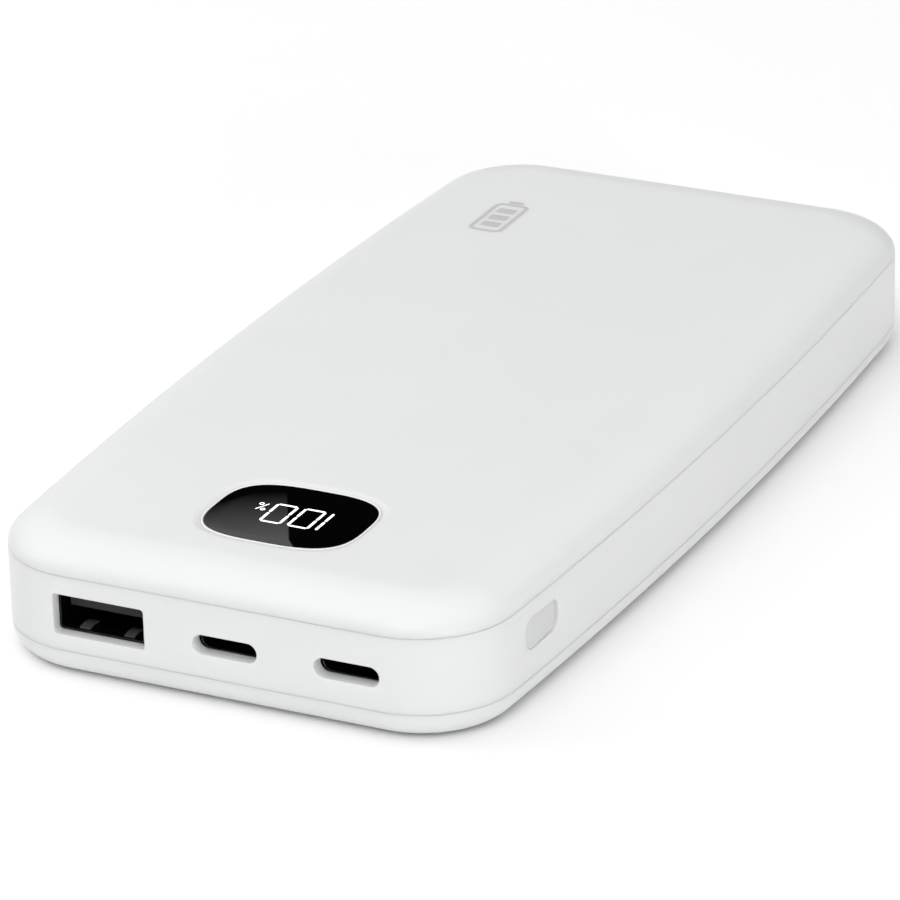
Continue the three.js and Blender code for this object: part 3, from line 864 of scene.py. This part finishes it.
def windowTree():
    tree, given = newTree("softOvalPlate", {
        "Width": ("Float", 0.02), "Length": ("Float", 0.016), "Power": ("Float", 3.2),
        "Thickness": ("Float", 0.0009), "Bevel": ("Float", 0.0001), "Bevel Rings": ("Int", 5),
        "Steps": ("Int", 96), "Material": ("Material", None),
    })
    # a grid: columns run round the outline, rows run up the side, over the bevel and in to the middle
    fillRings = 5
    rings = given["Bevel Rings"]
    rows = calc(tree, "ADD", rings, fillRings + 3)
    grid = put(tree, "GeometryNodeMeshGrid", {
        "Size X": 1.0, "Size Y": 1.0, "Vertices X": calc(tree, "ADD", given["Steps"], 1), "Vertices Y": rows,
    })
    place = put(tree, "ShaderNodeSeparateXYZ", {0: put(tree, "GeometryNodeInputPosition").outputs[0]})
    angle = calc(tree, "MULTIPLY", calc(tree, "ADD", place.outputs[0], 0.5), 2 * math.pi)
    row = calc(tree, "ROUND", calc(tree, "MULTIPLY", calc(tree, "ADD", place.outputs[1], 0.5),
                                   calc(tree, "SUBTRACT", rows, 1)))
    # row 0 and 1 close the underside, then the side, the bevel's quarter turn and the flat top
    turn = put(tree, "ShaderNodeClamp", {
        0: calc(tree, "DIVIDE", calc(tree, "SUBTRACT", row, 2), rings), 1: 0.0, 2: 1.0}).outputs[0]
    quarter = calc(tree, "MULTIPLY", turn, math.pi / 2)
    inward = calc(tree, "MULTIPLY", given["Bevel"], calc(tree, "SUBTRACT", 1, calc(tree, "COSINE", quarter)))
    rise = calc(tree, "MULTIPLY", given["Bevel"], calc(tree, "SINE", quarter))
    wallTop = calc(tree, "SUBTRACT", given["Thickness"], given["Bevel"])
    onWall = calc(tree, "GREATER_THAN", row, 1.5)
    height = calc(tree, "MULTIPLY", onWall, calc(tree, "ADD", wallTop, rise))
    # past the bevel the rings shrink to the middle, and so does the first row, under the plate
    left = calc(tree, "SUBTRACT", calc(tree, "ADD", rings, fillRings + 2), row)
    topShare = put(tree, "ShaderNodeClamp", {
        0: calc(tree, "DIVIDE", left, fillRings), 1: 0.0, 2: 1.0}).outputs[0]
    lowShare = calc(tree, "GREATER_THAN", row, 0.5)
    share = calc(tree, "MULTIPLY", topShare, lowShare)
    coordinates = []
    for trig, size in (("COSINE", "Width"), ("SINE", "Length")):
        wave = calc(tree, trig, angle)
        bent = calc(tree, "POWER", calc(tree, "ABSOLUTE", wave), calc(tree, "DIVIDE", 2, given["Power"]))
        signed = calc(tree, "MULTIPLY", bent, calc(tree, "SIGN", wave))
        reach = calc(tree, "SUBTRACT", calc(tree, "MULTIPLY", given[size], 0.5), inward)
        coordinates.append(calc(tree, "MULTIPLY", calc(tree, "MULTIPLY", signed, reach), share))
    moved = put(tree, "GeometryNodeSetPosition", {
        "Geometry": grid.outputs[0], "Position": combine(tree, *coordinates, height),
    })
    merged = put(tree, "GeometryNodeMergeByDistance", {"Geometry": moved.outputs[0], "Distance": 2e-6})
    endTree(tree, merged.outputs[0], given["Material"])
    return tree


def outward(data):
    mesh = bmesh.new()
    mesh.from_mesh(data)
    bmesh.ops.recalc_face_normals(mesh, faces=mesh.faces)
    mesh.to_mesh(data)
    mesh.free()
    return data


def makeWindow():
    plate = runTree(windowTree(), pointMesh([]), {
        "Width": windowSize.x, "Length": windowSize.y, "Power": window["power"],
        "Thickness": windowSize.z, "Bevel": window["bevel"], "Bevel Rings": window["bevelRings"],
        "Steps": window["steps"], "Material": paints["smokedWindow"],
    })
    plate.transform(Matrix.Translation((windowMiddle.x, windowMiddle.y, windowLow.z)))
    return placePiece(outward(plate), "displayWindow", paints["smokedWindow"],
                      ["display_window"])


figures = {
    "width": 3.1 * mm,
    "height": 5.55 * mm,
    "stroke": 0.36 * mm,
    "thickness": 0.02 * mm,
    "gap": 0.05 * mm,
    "places": [(6.24, 0b0000110), (2.34, 0b0111111), (-1.54, 0b0111111)],  # x in mm, lit segments a to g
    "middleY": -53.14 * mm,
}


def segmentTree():
    tree, given = newTree("segmentFigures", {
        "Width": ("Float", 0.003), "Height": ("Float", 0.005), "Stroke": ("Float", 0.0005),
        "Gap": ("Float", 0.0001), "Thickness": ("Float", 0.00002), "Material": ("Material", None),
    })
    lit = put(tree, "GeometryNodeInputNamedAttribute", {"Name": "lit"}, data_type="INT").outputs[0]
    copies = put(tree, "GeometryNodeDuplicateElements", {"Geometry": given["Geometry"], "Amount": 7},
                 domain="POINT")
    segment = copies.outputs["Duplicate Index"]
    # segment i is lit when bit i of the figure's number is set
    shifted = calc(tree, "FLOOR", calc(tree, "DIVIDE", lit, calc(tree, "POWER", 2, segment)))
    dark = calc(tree, "LESS_THAN", calc(tree, "MODULO", shifted, 2), 0.5)
    kept = put(tree, "GeometryNodeDeleteGeometry", {"Geometry": copies.outputs[0], "Selection": dark},
               domain="POINT")
    halfWide = calc(tree, "MULTIPLY", calc(tree, "SUBTRACT", given["Width"], given["Stroke"]), 0.5)
    halfTall = calc(tree, "MULTIPLY", calc(tree, "SUBTRACT", given["Height"], given["Stroke"]), 0.5)
    # a top, b c right, d bottom, e f left, g middle, in half widths and half heights
    spots = [(0, 1), (1, 0.5), (1, -0.5), (0, -1), (-1, -0.5), (-1, 0.5), (0, 0)]
    pick = put(tree, "GeometryNodeIndexSwitch", {"Index": segment}, data_type="VECTOR")
    while len(pick.index_switch_items) < len(spots):
        pick.index_switch_items.new()
    for i, (x, y) in enumerate(spots):
        pick.inputs[i + 1].default_value = (x, y, 0)
    part = put(tree, "ShaderNodeSeparateXYZ", {0: pick.outputs[0]})
    offset = combine(tree, calc(tree, "MULTIPLY", part.outputs[0], halfWide),
                     calc(tree, "MULTIPLY", part.outputs[1], halfTall))
    parted = put(tree, "GeometryNodeSetPosition", {"Geometry": kept.outputs[0], "Offset": offset})
    upright = calc(tree, "GREATER_THAN", calc(tree, "ABSOLUTE", part.outputs[0]), 0.5)
    bars = []
    for reach in (halfWide, calc(tree, "MULTIPLY", halfTall, 0.5)):
        bars.append(segmentBar(tree, given, calc(tree, "SUBTRACT", reach, given["Gap"])))
    choice = put(tree, "GeometryNodeSwitch", {"Switch": upright}, input_type="ROTATION")
    choice.inputs["True"].default_value = (0, 0, math.pi / 2)
    both = put(tree, "GeometryNodeGeometryToInstance")
    for bar in reversed(bars):
        tree.links.new(bar, both.inputs[0])
    placed = put(tree, "GeometryNodeInstanceOnPoints", {
        "Points": parted.outputs[0], "Instance": both.outputs[0], "Pick Instance": True,
        "Instance Index": upright, "Rotation": choice.outputs[0],
    })
    endTree(tree, placed.outputs[0], given["Material"])
    return tree


# A six-sided bar: a short cylinder whose corners are pulled out to pointed ends.
def segmentBar(tree, given, reach):
    bar = put(tree, "GeometryNodeMeshCylinder", {
        "Vertices": 6, "Radius": 1.0, "Depth": given["Thickness"],
    }, fill_type="NGON")
    place = put(tree, "ShaderNodeSeparateXYZ", {0: put(tree, "GeometryNodeInputPosition").outputs[0]})
    half = calc(tree, "MULTIPLY", given["Stroke"], 0.5)
    straight = calc(tree, "SUBTRACT", reach, given["Stroke"])
    along = calc(tree, "ADD", straight,
                 calc(tree, "MULTIPLY", given["Stroke"], calc(tree, "ABSOLUTE", place.outputs[0])))
    x = calc(tree, "MULTIPLY", along, calc(tree, "SIGN", place.outputs[0]))
    y = calc(tree, "MULTIPLY", place.outputs[1], calc(tree, "DIVIDE", half, math.sin(math.pi / 3)))
    return put(tree, "GeometryNodeSetPosition", {
        "Geometry": bar.outputs[0], "Position": combine(tree, x, y, place.outputs[2]),
    }).outputs[0]


def makeFigures():
    base = pointMesh([(-x * mm, 0, 0) for x, _ in figures["places"]])
    lit = base.attributes.new("lit", "INT", "POINT")
    lit.data.foreach_set("value", [bits for _, bits in figures["places"]])
    data = runTree(segmentTree(), base, {
        "Width": figures["width"], "Height": figures["height"], "Stroke": figures["stroke"],
        "Gap": figures["gap"], "Thickness": figures["thickness"], "Material": paints["litFigure"],
    })
    height = windowHigh.z + figures["thickness"] / 2
    turned = Matrix.Translation((0, figures["middleY"], height)) @ Matrix.Rotation(math.pi, 4, "Z")
    data.transform(turned)
    return placePiece(data, "displayFigures", paints["litFigure"])


percent = {
    "x": -4.5 * mm,
    "y": -51.95 * mm,
    "ringRadius": 0.34 * mm,
    "ringStroke": 0.15 * mm,
    "ringSpread": (0.42 * mm, 0.72 * mm),
    "slash": (0.17 * mm, 2.2 * mm),
    "slashLean": math.radians(-27),
    "slashRound": 2.1,  # the slash's width over its corner radius
}


def makePercent():
    mesh = bmesh.new()
    low, high = windowHigh.z, windowHigh.z + figures["thickness"]
    for side in (-1, 1):
        shiftX, shiftY = percent["ringSpread"]
        centre = (percent["x"] + side * shiftX, percent["y"] - side * shiftY)
        wide, narrow = percent["ringRadius"], percent["ringRadius"] - percent["ringStroke"]
        steps = [(wide, low), (wide, high), (narrow, high), (narrow, low)]
        loops = [loop(mesh, circle(centre, radius, z, 24)) for radius, z in steps]
        bridgeAll(mesh, loops + loops[:1])
    lean = Matrix.Rotation(percent["slashLean"], 3, "Z")
    centre = Vector((percent["x"], percent["y"], 0))
    loops = []
    for z in (low, high):
        shape = roundedRect(*percent["slash"], percent["slash"][0] / percent["slashRound"], 0, 4)
        loops.append(loop(mesh, [centre + lean @ Vector((x, y, z)) for x, y in shape]))
    closeSolid(mesh, loops)
    return finishPiece(mesh, "percentSign", paints["litFigure"])


makeWindow()
makeRimHighlight()
makeFigures()
makePercent()
print("display built")


mark = {
    "centre": (-19.0 * mm, 47.5 * mm),
    "size": (5.2 * mm, 10.5 * mm, 1.2 * mm),
    "stroke": 0.6 * mm,
    "terminal": (2.2 * mm, 0.8 * mm, 0.2 * mm),
    "terminalGap": 0.25 * mm,
    "bars": 3,
    "barGap": 0.9 * mm,
    "barSize": (2.8 * mm, 1.7 * mm, 0.3 * mm),
    "sink": 0.004 * mm,
    "rise": 0.005 * mm,
}


def makeMark():
    mesh = bmesh.new()
    low, high = topZ - mark["sink"], topZ + mark["rise"]
    centre = Vector((*mark["centre"], 0))
    frameLoops = [loop(mesh, shiftedRect(*mark["size"], z, centre, grow, 6))
                  for grow, z in ((0, low), (0, high), (-mark["stroke"], high), (-mark["stroke"], low))]
    bridgeAll(mesh, frameLoops + frameLoops[:1])
    solids = [(mark["terminal"], mark["size"][1] / 2 + mark["terminal"][1] / 2 + mark["terminalGap"])]
    for i in range(mark["bars"]):
        solids.append((mark["barSize"], (i - (mark["bars"] - 1) / 2) * (mark["barSize"][1] + mark["barGap"])))
    for size, shift in solids:
        middle = centre + Vector((0, shift, 0))
        closeSolid(mesh, [loop(mesh, shiftedRect(*size, z, middle, 0, 4)) for z in (low, high)])
    return finishPiece(mesh, "printedMark", paints["markGrey"])


makeMark()


# Copies one shape onto every point, turned and stretched as the point says.
def copiesTree():
    tree, given = newTree("copiesOnPoints", {"Shape": ("Object", None), "Material": ("Material", None)})
    info = put(tree, "GeometryNodeObjectInfo", {"Object": given["Shape"], "As Instance": True})
    turn, stretch = [
        put(tree, "GeometryNodeInputNamedAttribute", {"Name": name}, data_type="FLOAT_VECTOR").outputs[0]
        for name in ("turn", "stretch")
    ]
    placed = put(tree, "GeometryNodeInstanceOnPoints", {
        "Points": given["Geometry"], "Instance": info.outputs["Geometry"], "Rotation": turn, "Scale": stretch,
    })
    endTree(tree, placed.outputs[0], given["Material"])
    return tree


# places: (point, turn, stretch) for each copy.
def makeCopies(name, shape, places, material, replaced=()):
    base = pointMesh([point for point, _, _ in places])
    for k, label in ((1, "turn"), (2, "stretch")):
        values = base.attributes.new(label, "FLOAT_VECTOR", "POINT")
        values.data.foreach_set("vector", [number for place in places for number in place[k]])
    bmesh.ops.recalc_face_normals(shape, faces=shape.faces)
    original = addObject(name + "Shape", meshData(shape, name + "Shape"))
    copies = runTree(copiesTree(), base, {"Shape": original, "Material": material})
    bpy.data.objects.remove(original)
    return placePiece(copies, name, material, replaced)


sockets = {
    "metal": 0.3 * mm,
    "cornerA": 0.5 * mm,
    "plate": 0.6 * mm,
    "lip": 0.1 * mm,
    "blockEdge": 0.1 * mm,
    "blockCornerA": 0.3 * mm,
    "blockGapA": 0.05 * mm,
    "blockLengthC": 1.9 * mm,
    "tongueBevel": 0.18 * mm,
    "contactWidth": 1.0 * mm,
    "contactThickness": 0.2 * mm,
    "contactGap": 0.04 * mm,
    # a contact's bend: mm from its tip, and half thicknesses up
    "contactBend": [(0, 1), (0.15, 0), (0.5, -1), (1.1, -1), (1.6, 0)],
    "springOffset": 3.15 * mm,
    "springWidth": 1.45 * mm,
    "springThickness": 0.2 * mm,
    # a spring leaf's underside: mm behind the can's mouth, and mm above its floor
    "springBend": [(2.8, 0.02), (2.2, 0.14), (1.6, 0.2), (1.0, 0.16), (0.4, 0.02)],
    "fineStart": 0.35 * mm,
    "finePitch": 0.5 * mm,
    "fineCount": 12,
    "finePad": (0.26 * mm, 3.4 * mm, 0.02 * mm),
    "tongueC": (6.69 * mm, 0.7 * mm, 0.2 * mm),
    "tongueA": (11.1 * mm, 1.84 * mm, 0.15 * mm),
}


# A drawn steel can, open at the front, with a rolled lip.
def makeCan(node, name, corner):
    mesh = bmesh.new()
    low, high, middle = nodeSpan(node)
    size = high - low
    metal, lip = sockets["metal"], sockets["lip"]
    steps = [(0, high.y), (0, low.y + lip), (-lip, low.y), (lip - metal, low.y), (-metal, low.y + lip),
             (-metal, high.y - sockets["plate"])]
    loops = []
    for grow, y in steps:
        shape = roundedRect(size.x, size.z, corner or size.z / 2 - leastRadius, grow)
        loops.append(loop(mesh, [(middle.x + u, y, middle.z + v) for u, v in shape]))
    closeSolid(mesh, loops)
    return finishPiece(mesh, name, paints["socketSteel"], [node])


# An insulator: a block that fills the can's back, and a tongue with a bevelled tip standing out of it.
def makeInsulator(node, name, blockCorner, blockFront, tongue, tongueZ):
    mesh = bmesh.new()
    low, high, middle = nodeSpan(node)
    size = high - low
    bevel, edge = sockets["tongueBevel"], sockets["blockEdge"]
    block = (size.x, size.z, blockCorner or size.z / 2 - leastRadius)
    steps = [(block, middle.z, 0, high.y), (block, middle.z, 0, blockFront + edge),
             (block, middle.z, -edge, blockFront), (tongue, tongueZ, 0, blockFront),
             (tongue, tongueZ, 0, low.y + bevel), (tongue, tongueZ, -bevel, low.y)]
    loops = []
    for (width, height, corner), z, grow, y in steps:
        shape = roundedRect(width, height, corner, grow)
        loops.append(loop(mesh, [(middle.x + u, y, z + v) for u, v in shape]))
    closeSolid(mesh, loops)
    return finishPiece(mesh, name, paints["blackPlastic"], [node])


# A flat strip whose middle line runs through (y, z) points.
def stripShape(width, thickness, line):
    mesh = bmesh.new()
    corners = [(-1, -1), (1, -1), (1, 1), (-1, 1)]
    loops = [loop(mesh, [(a * width / 2, y, z + b * thickness / 2) for a, b in corners]) for y, z in line]
    closeSolid(mesh, loops)
    return mesh


def makeSocketA():
    makeCan("usb_a_shell", "usbACan", sockets["cornerA"])
    contacts = [f"usb_a_contact_{i}" for i in range(1, 5)]
    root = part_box(contacts[0])[1]
    tongueZ = root.z + sockets["contactGap"] + sockets["tongueA"][1] / 2
    blockFront = root.y + sockets["blockGapA"]
    corner = sockets["blockCornerA"]
    makeInsulator("usb_a_tongue", "usbATongue", corner, blockFront, sockets["tongueA"], tongueZ)
    longest = max(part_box(node)[1].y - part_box(node)[0].y for node in contacts)
    half = sockets["contactThickness"] / 2
    line = [(y * mm - longest, up * half) for y, up in sockets["contactBend"]] + [(0, 0)]
    places = []
    for node in contacts:
        near, far, middle = nodeSpan(node)
        share = (far.y - near.y) / longest
        places.append(((middle.x, far.y, root.z - half), (0, 0, 0), (1, share, 1)))
    strip = stripShape(sockets["contactWidth"], sockets["contactThickness"], line)
    makeCopies("usbAContacts", strip, places, paints["goldContact"], contacts)
    # two spring leaves rise from the can's floor, just behind its mouth
    shellLow, _, middle = nodeSpan("usb_a_shell")
    half = sockets["springThickness"] / 2
    leaf = stripShape(sockets["springWidth"], sockets["springThickness"],
                      [(y * mm, z * mm + half) for y, z in sockets["springBend"]])
    floor = shellLow.z + sockets["metal"]
    places = [((middle.x + side * sockets["springOffset"], shellLow.y, floor), (0, 0, 0), (1, 1, 1))
              for side in (-1, 1)]
    makeCopies("usbASprings", leaf, places, paints["springGrey"])


def makeSocketC(side):
    label = "usbC" + side.capitalize()
    makeCan(f"usb_c_{side}_shell", label + "Can", None)
    low, high, middle = nodeSpan(f"usb_c_{side}_tongue")
    blockFront = high.y - sockets["blockLengthC"]
    makeInsulator(f"usb_c_{side}_tongue", label + "Tongue", None, blockFront, sockets["tongueC"], middle.z)
    width, length, thickness = sockets["finePad"]
    pad = stripShape(width, thickness, [(0, 0), (length, 0)])
    places = []
    for upper in (-1, 1):
        for i in range(sockets["fineCount"]):
            x = middle.x + (i - (sockets["fineCount"] - 1) / 2) * sockets["finePitch"]
            z = middle.z + upper * (sockets["tongueC"][1] + thickness) / 2
            places.append(((x, low.y + sockets["fineStart"], z), (0, 0, 0), (1, 1, 1)))
    makeCopies(label + "Contacts", pad, places, paints["goldContact"])


makeSocketA()
makeSocketC("middle")
makeSocketC("right")
print("sockets built")


screw = {
    "headRadius": 1.75 * mm,
    "headHeight": 1.2 * mm,
    # the head's rounding: how far inside its rim, and how far above its seat
    "headCurve": [(0, 0.35 * mm), (0.12 * mm, 0.75 * mm), (0.4 * mm, 1.05 * mm), (0.65 * mm, 1.2 * mm)],
    "neck": 0.3 * mm,
    "shankRadius": 0.85 * mm,
    "threadDepth": 0.2 * mm,
    "pitch": 0.7 * mm,
    "threadFoot": 0.6 * mm,
    "threadSteps": (0.4, 0.75, 0.9),  # where a turn's foot, its crest and its crest's end lie, in pitches
    "tipTaper": 0.6,
    "crossReach": 0.95 * mm,
    "crossHalf": 0.26 * mm,
    "crossDepth": 0.75 * mm,
    "crossTaper": 0.45,
    "firstTurn": 0.5,
    "turnStep": 1.1,
}


def crossOutline(reach, half, z):
    points = []
    for quarter in range(4):
        turn = Matrix.Rotation(math.pi / 2 * quarter, 2)
        for corner in ((reach, -half), (reach, half), (half, half)):
            x, y = turn @ Vector(corner)
            points.append((x, y, z))
    return points


# A pan-head screw standing on its tip at the origin.
def screwShape(length):
    mesh = bmesh.new()
    seat, head = length - screw["headHeight"], screw["headRadius"]
    outer, inner = screw["shankRadius"], screw["shankRadius"] - screw["threadDepth"]
    profile = [(inner * screw["tipTaper"], 0)]
    for i in range(int((seat - screw["threadFoot"]) / screw["pitch"])):
        foot, crest, end = [(i + step) * screw["pitch"] for step in screw["threadSteps"]]
        profile += [(inner, foot), (outer, crest), (outer, end)]
    profile += [(inner, seat - screw["neck"]), (inner, seat), (head, seat)]
    profile += [(head - inset, seat + rise) for inset, rise in screw["headCurve"]]
    loops = [loop(mesh, circle((0, 0), radius, z)) for radius, z in profile]
    bridgeAll(mesh, loops)
    cap(mesh, loops[0])
    crosses = [loop(mesh, crossOutline(screw["crossReach"] * share, screw["crossHalf"] * (1 + share) / 2, z))
               for share, z in ((1, length), (screw["crossTaper"], length - screw["crossDepth"]))]
    bridge(mesh, *crosses)
    cap(mesh, crosses[1])
    fillBetween(mesh, loops[-1], [crosses[0]], (0, 0, 1))
    return mesh


def makeScrews():
    low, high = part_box(screwNodes[0])
    places = []
    for i, place in enumerate(screwPlaces):
        turn = screw["firstTurn"] + screw["turnStep"] * i
        places.append(((place.x, place.y, low.z), (0, 0, turn), (1, 1, 1)))
    shape = screwShape(high.z - low.z)
    makeCopies("boardScrews", shape, places, paints["screwSteel"], screwNodes)


# Small ceramic parts on the charging board: the start (mm), number, step (mm) and turn of each row.
smallParts = {
    "size": (1.6 * mm, 0.8 * mm, 0.7 * mm),
    # along a part, in lengths, and how thick it is there: two end caps and a thinner middle
    "section": [(-0.5, 1), (-0.3, 1), (-0.28, 0.9), (0.28, 0.9), (0.3, 1), (0.5, 1)],
    "rows": [
        ((-29, -57), 5, (0, 1.9), 0),
        ((-11, -55.5), 4, (0, 1.9), math.pi / 2),
        ((9.6, -56), 4, (0, 1.8), 0),
        ((22.8, -50), 3, (0, 1.8), math.pi / 2),
        ((14.5, -53.4), 3, (2.2, 0), math.pi / 2),
    ],
}


def makeSmallParts():
    mesh = bmesh.new()
    length, width, height = smallParts["size"]
    loops = []
    for along, share in smallParts["section"]:
        x, y, z = along * length, width / 2 * share, height * share
        loops.append(loop(mesh, [(x, -y, 0), (x, y, 0), (x, y, z), (x, -y, z)]))
    closeSolid(mesh, loops)
    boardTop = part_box("main_board")[1].z
    places = []
    for (x, y), count, (stepX, stepY), turn in smallParts["rows"]:
        for i in range(count):
            point = ((x + i * stepX) * mm, (y + i * stepY) * mm, boardTop)
            places.append((point, (0, 0, turn), (1, 1, 1)))
    makeCopies("boardSmallParts", mesh, places, paints["ceramicTan"])


makeScrews()
makeSmallParts()
print("screws and board parts built")


nodePaints = {
    "window_tape": "foamBlack", "display_module": "displayCase", "switch_body": "switchSteel",
    "switch_plunger": "blackPlastic", "main_board": "boardGreen", "power_inductor": "ferrite",
    "charge_controller_chip": "chipBlack", "boost_converter_chip": "chipBlack",
    "output_capacitor_1": "canAluminium", "output_capacitor_2": "canAluminium",
    "lower_cell": "pouchFoil", "upper_cell": "pouchFoil",
    "bottom_foam_pad": "foamBlack", "cell_tape": "tapeBlue", "top_foam_pad": "foamBlack",
    "protection_board": "boardGreen", "positive_tab": "nickel", "negative_tab": "nickel",
    "red_wire": "redWire", "black_wire": "blackWire", "thermistor": "ivoryPlastic",
}
for name, paint in nodePaints.items():
    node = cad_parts[name]
    node.data.materials.clear()
    node.data.materials.append(paints[paint])
print("carried-over nodes painted:", len(nodePaints))


studio = {
    "floorSize": 8.0,
    "floorDrop": 0.02 * mm,
    "floorColor": (0.97, 0.97, 0.97),
    "dome": 1.36,
    "domeFrom": 0.5,  # height on the unit sphere where the sky begins to glow
    "domeTo": 0.85,
    # name: (direction it comes from, distance, width and height, watts)
    "lights": {
        "frontHigh": ((0.1, -1.0, 0.9), 1.2, (0.7, 0.7), 3.5),
        "cornerStrip": ((0.82, -0.57, 0.1), 1.2, (0.12, 0.5), 4.8),
        "backStrip": ((1.0, 0.9, 0.15), 1.2, (0.2, 0.5), 0.76),
        "leftHigh": ((-1.0, -0.2, 0.6), 1.2, (0.8, 0.8), 3.2),
        "leftBack": ((-0.8, 0.6, 0.5), 1.2, (0.7, 0.7), 1.8),
    },
}
cameraView = {
    "azimuth": math.radians(26.19),
    "elevation": math.radians(23.68),
    "roll": math.radians(-1.47),
    "distance": 748.88 * mm,
    "lens": 225.6,
    "target": (0.0, 0.0, 8.0 * mm),
    "aimRight": -3.50 * mm,
    "aimUp": -2.91 * mm,
}


def makeFloor():
    mesh = bmesh.new()
    half = studio["floorSize"] / 2
    cap(mesh, loop(mesh, [(-half, -half, 0), (half, -half, 0), (half, half, 0), (-half, half, 0)]))
    data = meshData(mesh, "floor")
    data.transform(Matrix.Translation((0, 0, -studio["floorDrop"])))
    material = newMaterial("floorPaper", studio["floorColor"], 0.9)
    roughen(material, grain(material, 40, 2), 0.85, 0.95)
    data.materials.append(material)
    floor = addObject("floor", data)


def makeLights():
    for name, (direction, distance, size, watts) in studio["lights"].items():
        data = bpy.data.lights.new(name, "AREA")
        data.shape = "RECTANGLE"
        data.size, data.size_y = size
        data.energy = watts
        light = addObject(name, data)
        place = Vector(direction).normalized() * distance
        light.location = place
        light.rotation_euler = place.to_track_quat("Z", "Y").to_euler()
    makeDome()


# A soft sky that is bright overhead and black near the horizon, so that the window reflects darkness.
def makeDome():
    world = bpy.data.worlds.new("studioDome")
    world.use_nodes = True
    tree = world.node_tree
    split = put(tree, "ShaderNodeSeparateXYZ", {0: put(tree, "ShaderNodeTexCoord").outputs["Generated"]})
    ramp = put(tree, "ShaderNodeMapRange", {
        "Value": split.outputs["Z"], "From Min": studio["domeFrom"], "From Max": studio["domeTo"],
        "To Max": studio["dome"],
    }, interpolation_type="SMOOTHSTEP")
    setInputs(tree, tree.nodes["Background"], {"Color": (1, 1, 1, 1), "Strength": ramp.outputs["Result"]})
    scene.world = world


def makeCamera():
    azimuth, elevation, roll = cameraView["azimuth"], cameraView["elevation"], cameraView["roll"]
    right = Vector((math.cos(azimuth), math.sin(azimuth), 0))
    back = Vector((math.sin(azimuth) * math.cos(elevation),
                   -math.cos(azimuth) * math.cos(elevation), math.sin(elevation)))
    up = back.cross(right)
    rolledRight = right * math.cos(roll) + up * math.sin(roll)
    rolledUp = up * math.cos(roll) - right * math.sin(roll)
    target = Vector(cameraView["target"])
    place = target + back * cameraView["distance"]
    aim = target + rolledRight * cameraView["aimRight"] + rolledUp * cameraView["aimUp"]
    away = (place - aim).normalized()
    across = rolledUp.cross(away).normalized()
    upward = away.cross(across)
    data = bpy.data.cameras.new("camera")
    data.lens = cameraView["lens"]
    data.sensor_width = 36
    data.clip_start = 0.01
    camera = addObject("camera", data)
    turn = Matrix((across, upward, away)).transposed()
    camera.matrix_world = Matrix.Translation(place) @ turn.to_4x4()
    scene.camera = camera


# A glowing card behind the object that shows as the lighter patch in the window: its upright edge is
# seen at edgeX, edgeY from the window's middle, and its glow fades downwards.
card = {
    "edgeX": 3.1 * mm,
    "edgeY": -6.6 * mm,
    "distance": 1.0,
    "width": 0.4,
    "height": 0.3,
    "fade": 16 * mm,
    "glow": 0.74,
}


def makeCard():
    eye = scene.camera.location
    mirrored = Vector((eye.x, eye.y, 2 * windowHigh.z - eye.z))
    seen = Vector((windowMiddle.x + card["edgeX"], windowMiddle.y + card["edgeY"], windowHigh.z))
    edge = seen + (seen - mirrored).normalized() * card["distance"]
    across = Vector((math.cos(cameraView["azimuth"]), math.sin(cameraView["azimuth"]), 0))
    mesh = bmesh.new()
    corners = [(-card["width"], -card["fade"]), (0, -card["fade"]), (0, card["height"]),
               (-card["width"], card["height"])]
    cap(mesh, loop(mesh, [across * u + Vector((0, 0, v)) for u, v in corners]))
    data = meshData(mesh, "reflectionCard")
    material = bpy.data.materials.new("cardGlow")
    material.use_nodes = True
    tree = material.node_tree
    tree.nodes.clear()
    split = put(tree, "ShaderNodeSeparateXYZ", {0: put(tree, "ShaderNodeTexCoord").outputs["Object"]})
    fade = put(tree, "ShaderNodeMapRange", {
        "Value": split.outputs["Z"], "From Min": -card["fade"], "From Max": 0, "To Max": card["glow"],
    })
    glow = put(tree, "ShaderNodeEmission", {"Strength": fade.outputs["Result"]})
    put(tree, "ShaderNodeOutputMaterial", {0: glow.outputs[0]})
    data.materials.append(material)
    piece = addObject("reflectionCard", data)
    piece.location = edge


makeFloor()
makeLights()
makeCamera()
makeCard()
print("studio ready")
